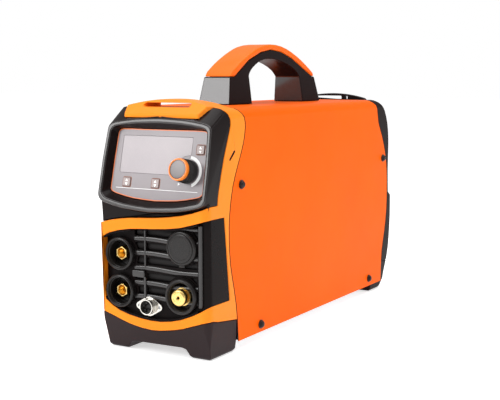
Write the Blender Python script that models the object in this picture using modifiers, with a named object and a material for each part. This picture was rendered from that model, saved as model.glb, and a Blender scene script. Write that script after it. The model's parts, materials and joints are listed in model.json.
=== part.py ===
"""TIG welding machine: steel cover on a moulded front, a moulded rear and a sheet base pan.

World: metres, +Z up, +Y towards the rear, origin at the middle of the footprint.
The functions below take millimetres: x across, depth back from the front plane, height from the floor.
"""
import math

import bmesh
import bpy
from mathutils import Matrix, Vector

MM = 0.001
NAME = "tig_welding_machine"

# Driving dimensions, millimetres
HALF_WIDTH = 80.0
COVER_TOP = 304.0
COVER_BOTTOM = 12.0
SHEET = 1.2
TOP_RADIUS = 13.0
WALL = 3.0
GAP = 0.3
SEAM_GAP = 0.8
FRONT_END = -21.2
REAR_END = 545.0
MIDDLE = (FRONT_END + REAR_END) / 2
PAN_FRONT = 62.0
PAN_REAR = 505.0
TONGUE = 24.0
TONGUE_WALL = 2.2
TILT = math.radians(13.0)
PANEL_DEPTH = 5.5
PANEL_HEIGHT = 235.0
RIM_OUT = 11.0
HOOD_RISE = 2.26
CORNER_LEFT = 3.6
CORNER_RIGHT = 11.0
LEDGE_BACK = -4.2
CREST = 10.0

# Side curves, (depth, height)
FRONT_SEAM = [(60.9, 12), (58.8, 40), (56, 60), (50.5, 83), (42.7, 113), (39.8, 145), (41.1, 175),
              (48.9, 209), (60.8, 234), (73.5, 259), (78.4, 279), (76.0, 292), (63, 304)]
REAR_SEAM = [(506, 12), (506.7, 39), (509, 63), (518, 92), (525, 126), (526, 153), (524, 191),
             (516, 221), (501.9, 248), (489, 267), (484.5, 282), (480, 295), (466, 304)]
REAR_SHAPE = [(524, 30), (529, 46), (534, 60), (538, 82), (541, 115), (540.5, 149)]
REAR_UPPER = [(531.5, 155), (529.5, 190), (530, 219), (530, 240), (525, 266), (513, 287), (498, 299), (486, 304)]
HOOD_EDGE = [(31.8, 318), (31.8, 304), (38, 298), (42.5, 292), (43.6, 284), (38, 268), (29.2, 246.5),
             (16.1, 204.7), (13.5, 190), (14.5, 172), (18, 150), (19, 138)]
CHEEK_EDGE = [(28.4, 173.5), (31.7, 144.6), (36.1, 106.9), (40.4, 68.6)]

# Front curves, (x, height)
BAND_UPPER = [(-81.7, 159.8), (-65, 164.2), (-34.6, 169), (4, 171.5), (42.6, 176.7), (71.7, 184.8), (81.2, 189.5)]
BAND_LOWER = [(-76, 143), (-66, 148.3), (-34.8, 155), (4, 157.4), (39.8, 161.4), (81, 173)]
RECESS_LOWER = [(80.6, 68.9), (67.7, 60.7), (38.7, 48), (9, 42.2), (-21.3, 43.2), (-54, 50.0), (-74.8, 62)]
BASE_UPPER = [(-80, 47), (-60.4, 41), (-35.7, 33.7), (-4.4, 29.9), (18.6, 32.3), (41.2, 37), (70.8, 47), (80, 49)]

# Panel features, (x, up the panel) about the panel's middle
KNOB = (43.8, -7.2)
BUTTONS = {"button_left": (-44.5, -23.6), "button_middle": (-1.2, -23.6), "button_right": (58.7, 20.0)}
BUTTON_SIZE = 10.5
WINDOW = (-58.0, 46.0, -12.3, 34.9)

# Front connectors, (x, height)
SOCKETS = {"upper": (-53.6, 121.8), "lower": (-53.4, 74.6)}
TORCH = (38.5, 76.2)
BLANK = (38.9, 135.8)
AVIATION = (-11.2, 58.6)
RING_RADIUS = 21.4
BARREL_RADIUS = 20.0

# Rear
REAR_PANEL_DEPTH = 521.0
FAN_CENTRE = (0.0, 197.0)
FAN_SIZE = 120.0
ROTOR_DEPTH = 509.0
SWITCH = (38.0, 104.0)
ROCKER_DEPTH = 521.0
ROCKER_TILT = 9.0
GLAND = (-36.0, 104.0)
GAS = (0.0, 84.0)

# Cover screws, (depth, height)
SCREWS = [(67.6, 209.0), (506.5, 211.0), (116.2, 22.5), (457.8, 24.0)]
HANDLE_BOLTS = {"handle_bolt_front": 160.0, "handle_bolt_rear": 360.0}


# ---------------------------------------------------------------- tools

def clear_scene():
    for item in list(bpy.data.objects):
        bpy.data.objects.remove(item, do_unlink=True)


def plane_frame(plane):
    """Matrix from a drawing plane's millimetres (right, up, out of the sheet) to world metres."""
    axes = {
        "front": ((1, 0, 0), (0, 0, 1), (0, -1, 0)),
        "side": ((0, 1, 0), (0, 0, 1), (1, 0, 0)),
        "top": ((1, 0, 0), (0, 1, 0), (0, 0, 1)),
        "rear": ((-1, 0, 0), (0, 0, 1), (0, 1, 0)),
        "panel": ((1, 0, 0), (0, math.sin(TILT), math.cos(TILT)), (0, -math.cos(TILT), math.sin(TILT))),
    }[plane]
    base = Vector((0, PANEL_DEPTH, PANEL_HEIGHT)) if plane == "panel" else Vector((0, 0, 0))
    turn = Matrix([list(row) for row in zip(*axes)]).to_4x4()
    shift = Matrix.Translation((base - Vector((0, MIDDLE, 0))) * MM)
    return shift @ turn @ Matrix.Scale(MM, 4)


def joint_frame(plane, centre, out=0.0):
    """Place on a drawing plane in metres: Z runs out of the sheet through the centre."""
    return plane_frame(plane) @ Matrix.Translation((centre[0], centre[1], out)) @ Matrix.Scale(1 / MM, 4)


def hang(item, place):
    """Give a moving piece its origin on its joint's axis; its shape stays where it is."""
    item.data.transform(place.inverted())
    item.matrix_world = place
    return item


def add_object(name, mesh, material=None):
    item = bpy.data.objects.new(name, mesh)
    PARTS.objects.link(item)
    if material:
        mesh.materials.clear()
        mesh.materials.append(material)
    return item


def tidy_mesh(mesh, weld=0.000005):
    """Weld loose caps, merge flat neighbours and turn every face outwards."""
    work = bmesh.new()
    work.from_mesh(mesh)
    bmesh.ops.remove_doubles(work, verts=work.verts, dist=weld)
    bmesh.ops.dissolve_degenerate(work, edges=work.edges, dist=weld)
    bmesh.ops.dissolve_limit(work, angle_limit=math.radians(0.1), verts=work.verts, edges=work.edges)
    bmesh.ops.recalc_face_normals(work, faces=work.faces)
    work.to_mesh(mesh)
    work.free()


def bake(item):
    """Turn an object with modifiers, or a curve, into a plain mesh object in world metres."""
    graph = bpy.context.evaluated_depsgraph_get()
    graph.update()
    mesh = bpy.data.meshes.new_from_object(item.evaluated_get(graph))
    mesh.transform(item.matrix_world)
    name = item.name
    materials = [slot for slot in item.data.materials]
    bpy.data.objects.remove(item, do_unlink=True)
    tidy_mesh(mesh)
    mesh.materials.clear()
    for material in materials:
        mesh.materials.append(material)
    baked = bpy.data.objects.new(name, mesh)
    PARTS.objects.link(baked)
    baked.name = name
    return baked


def smooth(points, steps=2):
    """Centripetal Catmull-Rom curve through the points."""
    ends = [Vector(p) for p in [points[0]] + list(points) + [points[-1]]]
    curve = []
    for a, b, c, d in zip(ends, ends[1:], ends[2:], ends[3:]):
        before, here, after = ((q - p).length ** 0.5 for p, q in ((a, b), (b, c), (c, d)))
        leave = c - b
        arrive = c - b
        if before:
            leave = c - b + here * ((b - a) / before - (c - a) / (before + here))
        if after:
            arrive = c - b + here * ((d - c) / after - (d - b) / (here + after))
        for k in range(steps):
            t = k / steps
            curve.append(b * (2 * t ** 3 - 3 * t ** 2 + 1) + leave * (t ** 3 - 2 * t ** 2 + t)
                         + c * (3 * t ** 2 - 2 * t ** 3) + arrive * (t ** 3 - t ** 2))
    curve.append(ends[-1])
    return [(p.x, p.y) for p in curve]


def shift(points, right, up=0.0):
    return [(a + right, b + up) for a, b in points]


def arc(centre, radius, start, end, steps=6):
    angles = [math.radians(start + (end - start) * k / steps) for k in range(steps + 1)]
    return [(centre[0] + radius * math.cos(a), centre[1] + radius * math.sin(a)) for a in angles]


def rounded_box(left, right, low, high, radius, steps=4):
    outline = arc((right - radius, high - radius), radius, 0, 90, steps)
    outline += arc((left + radius, high - radius), radius, 90, 180, steps)
    outline += arc((left + radius, low + radius), radius, 180, 270, steps)
    outline += arc((right - radius, low + radius), radius, 270, 360, steps)
    return outline


def prism(name, outline, plane, low, high, material=None):
    """Flat outline filled and extruded from low to high out of its drawing plane."""
    flat = bpy.data.curves.new(name, "CURVE")
    flat.dimensions = "2D"
    flat.fill_mode = "BOTH"
    flat.extrude = (high - low) / 2
    spline = flat.splines.new("POLY")
    spline.points.add(len(outline) - 1)
    for point, (right, up) in zip(spline.points, outline):
        point.co = (right, up, 0, 1)
    spline.use_cyclic_u = True
    item = bpy.data.objects.new(name, flat)
    PARTS.objects.link(item)
    item.matrix_world = plane_frame(plane) @ Matrix.Translation((0, 0, (low + high) / 2))
    if material:
        flat.materials.append(material)
    bpy.context.view_layer.update()
    return bake(item)


def box(name, x, depth, height, material=None):
    centre = Vector(((x[0] + x[1]) / 2, (depth[0] + depth[1]) / 2 - MIDDLE, (height[0] + height[1]) / 2)) * MM
    size = Vector((x[1] - x[0], depth[1] - depth[0], height[1] - height[0])) * MM
    work = bmesh.new()
    bmesh.ops.create_cube(work, size=1.0, matrix=Matrix.Translation(centre) @ Matrix.Diagonal(size.to_4d()))
    mesh = bpy.data.meshes.new(name)
    work.to_mesh(mesh)
    work.free()
    return add_object(name, mesh, material)


def cylinder(name, plane, centre, radius, low, high, material=None, segments=24):
    """Round bar standing on a drawing plane."""
    work = bmesh.new()
    place = Matrix.Translation((centre[0], centre[1], (low + high) / 2))
    bmesh.ops.create_cone(work, cap_ends=True, segments=segments, radius1=radius, radius2=radius,
                          depth=high - low, matrix=place)
    mesh = bpy.data.meshes.new(name)
    work.to_mesh(mesh)
    work.free()
    mesh.transform(plane_frame(plane))
    tidy_mesh(mesh)
    return add_object(name, mesh, material)


def turned(name, plane, centre, profile, material=None, steps=24):
    """Profile of (radius, out) points, closed into a loop unless it starts and ends on the axis."""
    mesh = bpy.data.meshes.new(name)
    points = [(radius * MM, 0, out * MM) for radius, out in profile]
    edges = [(i, i + 1) for i in range(len(points) - 1)]
    if profile[0][0] > 0:
        edges.append((len(points) - 1, 0))
    mesh.from_pydata(points, edges, [])
    item = add_object(name, mesh, material)
    screw = item.modifiers.new("turn", "SCREW")
    screw.axis = "Z"
    screw.steps = steps
    screw.render_steps = steps
    screw.use_merge_vertices = True
    screw.merge_threshold = 0.00001
    item.matrix_world = joint_frame(plane, centre)
    bpy.context.view_layer.update()
    return bake(item)


def combine(item, tools, operation):
    """Boolean with each tool in turn; the tools are used up."""
    for tool in tools:
        modifier = item.modifiers.new("cut", "BOOLEAN")
        modifier.operation = operation
        modifier.object = tool
        modifier.solver = "EXACT"
        bpy.context.view_layer.update()
        item = bake(item)
        bpy.data.objects.remove(tool, do_unlink=True)
    return item


def cut(item, *tools):
    return combine(item, tools, "DIFFERENCE")


def join(item, *tools):
    return combine(item, tools, "UNION")


def within(item, *tools):
    return combine(item, tools, "INTERSECT")


def soften(item, width, angle=40, segments=2):
    """Round the sharp edges."""
    bevel = item.modifiers.new("round", "BEVEL")
    bevel.width = width * MM
    bevel.segments = segments
    bevel.limit_method = "ANGLE"
    bevel.angle_limit = math.radians(angle)
    return bake(item)


def paint(name, colour, rough, metal=0.0):
    material = bpy.data.materials.new(name)
    material.use_nodes = True
    shader = material.node_tree.nodes["Principled BSDF"]
    shader.inputs["Base Color"].default_value = (*colour, 1.0)
    shader.inputs["Roughness"].default_value = rough
    shader.inputs["Metallic"].default_value = metal
    material.diffuse_color = (*colour, 1.0)
    return material


def case_profile(inset, top, bottom):
    """Front outline of the case: straight sides and rounded top corners, moved in by inset."""
    half = HALF_WIDTH - inset
    radius = TOP_RADIUS - inset
    outline = [(half, bottom)] + arc((half - radius, top - radius), radius, 0, 90, 4)
    outline += arc((radius - half, top - radius), radius, 90, 180, 4) + [(-half, bottom)]
    return outline


def channel_profile(outer, inner, top, bottom):
    """Upside-down U: the case outline at one inset, closed by the outline at a deeper inset."""
    return case_profile(outer, top - outer, bottom) + case_profile(inner, top - inner, bottom)[::-1]


# ---------------------------------------------------------------- case

def steel_cover():
    cover = prism("steel_cover", channel_profile(0, SHEET, COVER_TOP, COVER_BOTTOM), "front",
                  -540, -30, PAINT["cover"])
    seams = smooth(FRONT_SEAM) + smooth(REAR_SEAM)[::-1]
    cover = within(cover, prism("seams", seams, "side", -100, 100))
    for depth, height in SCREWS:
        cover = cut(cover, cylinder("hole", "side", (depth, height), 2.6, -90, 90, segments=16))
    for depth in HANDLE_BOLTS.values():
        cover = cut(cover, cylinder("hole", "top", (0, depth), 3.3, 290, 310, segments=16))
    return cover


def base_pan():
    side = HALF_WIDTH - SHEET - GAP
    outer = [(-side, 13.2), (side, 13.2), (side, 34), (side - SHEET, 34), (side - SHEET, 14.4),
             (SHEET - side, 14.4), (SHEET - side, 34), (-side, 34)]
    pan = prism("base_pan", outer, "front", -PAN_REAR, -PAN_FRONT, PAINT["zinc"])
    for depth, height in SCREWS[2:]:
        pan = cut(pan, cylinder("hole", "side", (depth, height), 2.3, -90, 90, segments=16))
    return pan


def tongue(seam, back, forth, low):
    """Lip that slides under the cover's edge."""
    lip = prism("tongue", channel_profile(SHEET + GAP, SHEET + GAP + TONGUE_WALL, COVER_TOP, low), "front", -540, 0)
    edge = smooth(seam)
    return within(lip, prism("lip", shift(edge, back) + shift(edge, forth)[::-1], "side", -100, 100))


# ---------------------------------------------------------------- front

def front_face(height, set_back=0.0):
    """Depth of the front moulding's face, which leans forward as it rises."""
    return -7.0 - 4.0 * (height - 30) / 135 + set_back


def hood_zone(grow):
    """Space of the hood: ahead of its side edge and above the waist band, clear of the top flap."""
    edge = shift(smooth(HOOD_EDGE), grow)
    zone = prism("zone", [(-60, 318)] + edge + [(-60, 138)], "side", -100, 100)
    band = shift(smooth(BAND_UPPER), 0, -grow)
    band = [(-100, band[0][1] - 3)] + band + [(100, band[-1][1] + 3)]
    zone = within(zone, prism("band", band + [(100, 330), (-100, 330)], "front", -70, 70))
    return cut(zone, top_flap(GAP - grow))


def top_flap(grow):
    """Tongue of the orange moulding that runs down over the middle of the hood."""
    slope = [(9.6, 291.4), (9.6, 330), (50, 330), (50, 300.5), (27, 300.5), (13, 291.4)]
    flap = prism("flap", shift(slope, -grow, -grow), "side", -66, 66)
    half = 51 + grow
    plan = [(-half, 0), (half, 0), (half + 11.5, 31.8 + grow), (half + 11.5, 60), (-half - 11.5, 60),
            (-half - 11.5, 31.8 + grow)]
    return within(flap, prism("plan", plan, "top", 280, 340))


def recess_outline(inset, left=-76.8):
    """Front outline of the lower recess, open to the right-hand side."""
    top = shift(smooth(BAND_LOWER), 0, -inset)
    low = shift(smooth(RECESS_LOWER), 0, inset)
    left += inset
    corner = [(left, 78 + inset), (left, top[0][1])]
    return top + [(92, top[-1][1]), (92, low[0][1])] + low + corner


def recess_zone(inset):
    zone = prism("recess", recess_outline(inset), "front", -60, 60)
    edge = shift(smooth(CHEEK_EDGE), -inset)
    side = [(-60, 200), (edge[0][0], 200)] + edge + [(edge[-1][0], 20), (-60, 20)]
    return within(zone, prism("cheek", side, "side", -100, 100))


def front_corners(inset=0.0):
    """Upright block with rounded front corners, leaning forward with the front moulding's face."""
    half = HALF_WIDTH - inset
    left = CORNER_LEFT - inset
    right = CORNER_RIGHT - inset
    plans = []
    for height in (0, 340):
        low = front_face(height, inset)
        plan = arc((half - right, low + right), right, 270, 360) + [(half, 300), (-half, 300)]
        plans.append(plan + arc((left - half, low + left), left, 180, 270))
    return loft("corners", "top", plans[0], 0, plans[1], 340)


def base_zone(grow):
    """Space of the front feet moulding, under the lower band."""
    top = shift(smooth(BASE_UPPER), 0, grow)
    zone = prism("below", [(-90, -5), (-90, top[0][1])] + top + [(90, top[-1][1]), (90, -5)], "front", -90, 60)
    side = [(-60, 53), (0, 49.5 + grow), (15, 46 + grow), (62, 40 + grow), (90, 38 + grow), (90, -6), (-60, -6)]
    return within(zone, prism("slope", side, "side", -100, 100))


def front_frame():
    crest = case_profile(0, COVER_TOP, 24)
    rise = [(67 * k / 6, COVER_TOP + CREST * (1 - k * k / 36)) for k in range(5, -6, -1)]
    crest = crest[:6] + rise + crest[6:]
    frame = prism("front_frame", crest, "front", -90, 20, PAINT["amber"])
    side = shift(smooth(FRONT_SEAM), -SEAM_GAP)
    side = [p for p in side if p[1] > 25] + [(61.5, 304.4), (61.5, 309), (57, 313.6), (45, 315), (34, 313.2),
                                             (26, 308.6), (10, 296.4), (9.6, 290), (front_face(185), 185)]
    side += [(front_face(165), 165), (front_face(25), 25), (59, 25)]
    frame = within(frame, prism("side", side, "side", -100, 100))
    hollow = prism("hollow", case_profile(WALL, COVER_TOP - 0.5, 20), "front", -120, 20)
    inner = [(120, 28), (120, 301), (27, 300.8), (13, 291.5), (front_face(185, WALL), 185),
             (front_face(165, WALL), 165), (front_face(28, WALL), 28)]
    hollow = within(hollow, prism("inner", inner, "side", -100, 100))
    frame = cut(frame, within(hollow, front_corners(WALL)))
    frame = join(frame, tongue(FRONT_SEAM, -8, TONGUE, 60))
    frame = cut(frame, hood_zone(GAP), recess_zone(0), base_zone(GAP))
    frame = within(frame, front_corners())
    slot = rounded_box(-35, 35, 304.2, 309.4, 2.6)
    frame = cut(frame, prism("slot", slot, "front", -75, 10))
    mark = [(41.4, 240), (53.6, 250.6), (52.4, 252), (40.2, 241.4)]
    frame = cut(frame, prism("mark", mark, "side", 76, 90))
    for depth, height in SCREWS[:1]:
        frame = cut(frame, cylinder("hole", "side", (depth, height), 2.3, -90, 90, segments=16))
    return frame


def rim_outline(inset):
    """Rounded outline of the hood's rim: a frown above and a smile below."""
    half = [(0, 54.5), (35, 53.2), (62, 49.8), (70.5, 47.8), (75, 44.6), (76.6, 39.5), (79.6, -37.5),
            (78.8, -44), (74.5, -49.3), (66, -52.2), (40, -57.3), (0, -60)]
    scaled = [(x * (1 - inset / 77), y * (1 - inset / 56)) for x, y in half]
    right = smooth(scaled, 2)
    return right + [(-x, y) for x, y in right[-2:0:-1]]


def panel_outline(grow):
    half = [(0, 43), (30, 43), (58, 43), (63.5, 42.2), (66.4, 38.8), (67, 33), (68.6, -29), (68.2, -33.4),
            (65, -36.6), (57, -39), (32, -43.4), (0, -45.2)]
    scaled = [(x * (1 + grow / 67), y * (1 + grow / 44)) for x, y in half]
    right = smooth(scaled, 2)
    return right + [(-x, y) for x, y in right[-2:0:-1]]


def loft(name, plane, first, low, second, high, material=None):
    """Solid between two outlines of the same number of points."""
    work = bmesh.new()
    ring = [work.verts.new((x, y, low)) for x, y in first]
    face = work.faces.new(ring)
    grown = bmesh.ops.extrude_face_region(work, geom=[face])
    moved = {v for v in grown["geom"] if isinstance(v, bmesh.types.BMVert)}
    for corner, (x, y) in zip(ring, second):
        partner = next(e.other_vert(corner) for e in corner.link_edges if e.other_vert(corner) in moved)
        partner.co = (x, y, high)
    mesh = bpy.data.meshes.new(name)
    work.to_mesh(mesh)
    work.free()
    mesh.transform(plane_frame(plane))
    tidy_mesh(mesh)
    return add_object(name, mesh, material)


def control_hood():
    rim = rim_outline(0)
    back = [(x * 1.045, y * HOOD_RISE if y > 0 else y * 1.02) for x, y in rim]
    hood = loft("control_hood", "panel", back, -42, rim, RIM_OUT, PAINT["dark"])
    neck = box("neck", (-79.6, 79.6), (-5.5, 45), (136, 212))
    hood = join(hood, neck)
    hood = within(hood, prism("case", case_profile(0.1, COVER_TOP - 0.2, 100), "front", -80, 60))
    hood = within(hood, hood_zone(0))
    mouth = loft("mouth", "panel", panel_outline(0.4), -0.8, rim_outline(4.6), RIM_OUT + 0.2)
    hood = cut(hood, mouth, prism("seat", panel_outline(0.6), "panel", -1.8, 1.5))
    hood = cut(hood, prism("throat", rounded_box(-62.5, 65.8, -39, 41, 3), "panel", -8, 0))
    rear = prism("rear", rounded_box(-76.6, 76.6, -47, 62, 8), "panel", -70, LEDGE_BACK)
    hood = cut(hood, rear)
    hood = cut(hood, box("neck_hollow", (-76.6, 76.6), (-2.5, 70), (100, 186.5)))
    return hood


def front_grille():
    grille = recess_zone(GAP)
    grille.name = "front_grille"
    grille.data.materials.append(PAINT["dark"])
    face = [(front_face(60, 1.6), 20), (front_face(170, 1.6), 200), (80, 200), (80, 20)]
    grille = within(grille, prism("face", face, "side", -90, 90), front_corners(0.4))
    pocket = prism("pocket", recess_outline(2.8, -90), "front", 0, 40)
    pocket = within(pocket, box("left", (-95, 64), (-60, 10), (0, 220)))
    pocket = join(pocket, cylinder("ring", "front", SOCKETS["lower"], RING_RADIUS + GAP, 0, 40))
    grille = cut(grille, pocket)
    grille = cut(grille, box("cheek", (64, 100), (-40, -1.5), (0, 220)))
    grille = cut(grille, box("back", (-74, 76.4), (WALL, 80), (0, 166)))
    bars = []
    for row, height in enumerate((150.5, 133, 115, 95.5, 77.5)):
        bars.append(rounded_box(-34, 61 - row, height - 4.6, height + 4.6, 2))
    slots = prism("slots", bars[0], "front", -10, 10)
    for bar in bars[1:]:
        slots = join(slots, prism("slots", bar, "front", -10, 10))
    bosses = [(SOCKETS["upper"], 25), (SOCKETS["lower"], 25), (TORCH, 25.5), (BLANK, 23.5)]
    for centre, radius in bosses:
        slots = cut(slots, cylinder("boss", "front", centre, radius, -12, 12, segments=24))
    slots = cut(slots, box("rib", (-18.6, -15.4), (-12, 12), (0, 200)))
    grille = cut(grille, slots)
    holes = [(SOCKETS["upper"], 20.3), (SOCKETS["lower"], 20.3), (TORCH, 20.3), (BLANK, 15.3), (AVIATION, 9.8)]
    for centre, radius in holes:
        grille = cut(grille, cylinder("hole", "front", centre, radius, -12, 12, segments=24))
    return grille


def front_base():
    feet = [(-79.8, 52), (-79.8, 45), (-76, 3), (-73, 0), (-48, 0), (-45.5, 2.5), (-41, 9), (-34, 11), (36, 12),
            (42, 10.5), (46.5, 3), (49, 0), (74, 0), (77, 3), (79.8, 45), (79.8, 52)]
    base = prism("front_base", feet, "front", -90, 20, PAINT["dark"])
    base = within(base, base_zone(0))
    side = [(front_face(53, 0.8), 53), (front_face(38, 0.6), 38), (0.5, 3), (4, 0), (55, 0), (58, 3), (59.6, 14),
            (58, 45), (57.4, 53)]
    base = within(base, prism("side", side, "side", -90, 90), front_corners(0.2))
    return cut(base, box("hollow", (-74, 74), (4, 90), (15, 70)))


# ---------------------------------------------------------------- control panel

def panel_parts():
    plate = prism("control_panel", panel_outline(0), "panel", -1.5, -0.1, PAINT["silver"])
    left, right, low, high = WINDOW
    opening = prism("opening", rounded_box(left, right, low, high, 2), "panel", -4, 4)
    plate = cut(plate, cut(opening, cylinder("field", "panel", KNOB, 19.6, -6, 6)))
    plate = cut(plate, cylinder("shaft_hole", "panel", KNOB, 4.6, -4, 4, segments=24))
    for x, up in BUTTONS.values():
        half = BUTTON_SIZE / 2 + 0.3
        plate = cut(plate, prism("hole", rounded_box(x - half, x + half, up - half, up + half, 1), "panel", -4, 4))
    window = prism("display_window", rounded_box(left + GAP, right - GAP, low + GAP, high - GAP, 1.8), "panel",
                   -1.4, -0.2, PAINT["lens"])
    cut(window, cylinder("notch", "panel", KNOB, 19.6 + GAP, -4, 4, segments=24))
    prism("display_module", rounded_box(-56, 20, -10.5, 33.5, 1), "panel", -9.5, -2.0, PAINT["glass"])
    control_board()


def control_board():
    board = prism("control_board", rounded_box(-70, 70, -43, 56, 2), "panel", -12.8, -11.2, PAINT["board"])
    for x, up in BUTTONS.values():
        pad = prism("switch", rounded_box(x - 3, x + 3, up - 3, up + 3, 0.5), "panel", -11.4, -6.2)
        board = join(board, pad)
    return board


def knob_parts():
    """The knob and its shaft turn on one axis, which an empty holds."""
    profile = [(3.35, 20.6), (11.2, 20.6), (11.2, 17.2), (13.4, 17.2), (14.1, 15.8), (14.6, 2.2), (14.2, 0.9),
               (12.4, 0.9), (12.4, 8), (5.5, 8), (5.5, 1.2), (3.35, 1.2)]
    body = turned("knob_body", "panel", KNOB, profile, PAINT["black"])
    profile = [(11.5, 17.5), (13.3, 17.5), (13.4, 21.6), (12.6, 22.8), (11.5, 22.8)]
    ring = turned("knob_ring", "panel", KNOB, profile, PAINT["orange"])
    profile = [(0, 22.6), (10.4, 22.3), (11.2, 21.9), (11.2, 20.9), (0, 20.9)]
    cap = turned("knob_cap", "panel", KNOB, profile, PAINT["grey"])
    encoder = prism("encoder_body", rounded_box(KNOB[0] - 6, KNOB[0] + 6, KNOB[1] - 6.5, KNOB[1] + 6.5, 1),
                    "panel", -10.9, -4.6, PAINT["zinc"])
    encoder = join(encoder, cylinder("bush", "panel", KNOB, 4.2, -5, 0.6, segments=24))
    cut(encoder, cylinder("bore", "panel", KNOB, 3.3, -9.5, 4, segments=24))
    shaft = cylinder("encoder_shaft", "panel", KNOB, 3.0, -9.2, 19.5, PAINT["metal"], segments=24)
    axis = bpy.data.objects.new("knob_axis", None)
    PARTS.objects.link(axis)
    place = joint_frame("panel", KNOB)
    axis.matrix_world = place
    for item in (body, ring, cap, shaft):
        item.data.transform(place.inverted())
        item.parent = axis


def buttons():
    for name, (x, up) in BUTTONS.items():
        half = BUTTON_SIZE / 2
        cap = prism(name, rounded_box(x - half, x + half, up - half, up + half, 0.8), "panel", -2.6, 1.3,
                    PAINT["button"])
        wide = half + 0.9
        flange = rounded_box(x - wide, x + wide, up - wide, up + wide, 0.8)
        cap = join(cap, prism("flange", flange, "panel", -3.4, -1.9))
        cap = join(cap, cylinder("stem", "panel", (x, up), 2.2, -4.9, -3.2, segments=12))
        hang(cap, joint_frame("panel", (x, up)))


# ---------------------------------------------------------------- connectors

def weld_sockets():
    for name, centre in SOCKETS.items():
        turned("socket_body_" + name, "front", centre,
               [(16.6, 8.2), (20.2, 8.2), (RING_RADIUS, 6.8), (RING_RADIUS, GAP), (BARREL_RADIUS, GAP),
                (BARREL_RADIUS, -24), (9.9, -24), (9.9, -13), (16.4, -13)], PAINT["black"])
        contact = cylinder("socket_contact_" + name, "front", centre, 9.6, -34, 2, PAINT["brass"])
        cut(contact, cylinder("bore", "front", centre, 6.4, -26, 8))


def blank_cap():
    cap = turned("blank_cap", "front", BLANK,
                 [(0, 7.4), (17.2, 7.4), (17.8, 6.8), (19.6, 6.8), (21.0, 6.0), (21.5, 4.6), (21.5, GAP),
                  (15, GAP), (15, -5.5), (0, -5.5)], PAINT["black"])
    tab = rounded_box(BLANK[0] - 5, BLANK[0] + 5, BLANK[1] - 24, BLANK[1] - 18, 1.5)
    return join(cap, prism("tab", tab, "front", 0.5, 4))


def torch_socket():
    turned("torch_socket_body", "front", TORCH,
           [(17.2, 8.2), (21.2, 8.2), (22.6, 6.6), (22.6, GAP), (BARREL_RADIUS, GAP), (BARREL_RADIUS, -20),
            (6.8, -20), (6.8, -9), (16.8, -9)], PAINT["black"])
    fitting = turned("torch_fitting", "front", TORCH,
                     [(0, 12.6), (8.6, 12.6), (10.2, 11.0), (10.2, 6.0), (7.6, 4.6), (7.6, 2.2), (11.6, 1.6),
                      (11.6, -4), (10.6, -5), (10.6, -8.6), (6.5, -8.6), (6.5, -38), (0, -38)], PAINT["brass"])
    cut(fitting, cylinder("bore", "front", TORCH, 1.7, -30, 20, segments=12))


def aviation_socket():
    x, z = AVIATION
    corners = arc((x + 15.2, z), 4.4, -62, 62, 6) + arc((x, z), 12.4, 68, 112, 4)
    corners += arc((x - 15.2, z), 4.4, 118, 242, 6) + arc((x, z), 12.4, 248, 292, 4)
    flange = prism("aviation_flange", corners, "front", GAP, 2.6, PAINT["chrome"])
    flange = join(flange, cylinder("shell", "front", AVIATION, 9.9, 1, 9.5, segments=24),
                  cylinder("barrel", "front", AVIATION, 9.4, -12, 1.5, segments=24))
    flange = cut(flange, cylinder("bore", "front", AVIATION, 8.3, -30, 30, segments=24))
    for side in (-1, 1):
        flange = cut(flange, cylinder("hole", "front", (x + side * 15.4, z), 1.6, -3, 8, segments=12))
    insert = cylinder("aviation_insert", "front", AVIATION, 8.0, -13, 2.5, PAINT["black"], segments=24)
    for k in range(5):
        angle = math.radians(90 + 72 * k)
        spot = (x + 4.6 * math.cos(angle), z + 4.6 * math.sin(angle))
        insert = join(insert, cylinder("pin", "front", spot, 0.9, -18, 7.4, segments=8))
    return insert


# ---------------------------------------------------------------- handle

def handle():
    outer = [(130.8, COVER_TOP + GAP), (139.6, 341), (146, 348.2), (163, 358.4), (181, 367.2), (200, 375),
             (221, 381.6), (251, 385.4), (281, 383.4), (311, 376), (343, 363.8), (368, 351.6), (377, 346.6),
             (380.4, 341), (392.4, COVER_TOP + GAP)]
    inner = [(337, COVER_TOP + GAP), (333, 341), (320.6, 349.4), (296, 358.2), (267, 364), (242, 365.2),
             (221, 362.4), (205, 356), (194, 349.4), (188.2, 343), (190, COVER_TOP + GAP)]
    side = outer[:2] + smooth(outer[2:12]) + outer[12:] + inner[:1] + smooth(inner[1:-1]) + inner[-1:]
    parting = [(100, 341), (151.8, 341), (165, 349), (189, 363), (222, 374), (250.6, 378), (280, 375.2),
               (311, 366.9), (343, 353.9), (374, 341), (420, 341), (420, 400), (100, 400)]
    taper = [(-24.6, COVER_TOP), (24.6, COVER_TOP), (20.6, 341), (20, 400), (-20, 400), (-20.6, 341)]
    core = prism("handle_core", side, "side", -30, 30, PAINT["dark"])
    core = within(core, prism("taper", taper, "front", -500, 0))
    core = cut(core, prism("parting", shift(parting, 0, -GAP), "side", -40, 40))
    for depth in HANDLE_BOLTS.values():
        core = cut(core, cylinder("bore", "top", (0, depth), 2.7, 290, 328, segments=16))
    grip = prism("handle_grip", side, "side", -30, 30, PAINT["orange"])
    grip = within(grip, prism("taper", taper, "front", -500, 0))
    within(grip, prism("parting", parting, "side", -40, 40))
    for name, depth in HANDLE_BOLTS.items():
        bolt = cylinder(name, "top", (0, depth), 2.4, 300, 322, PAINT["zinc"], segments=12)
        join(bolt, cylinder("head", "top", (0, depth), 5.0, 297.6, 302.4, segments=6))


# ---------------------------------------------------------------- rear

def rear_outline():
    seam = shift(smooth(REAR_SEAM), SEAM_GAP)
    back = smooth(REAR_SHAPE) + smooth(REAR_UPPER)
    return seam, back


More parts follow.
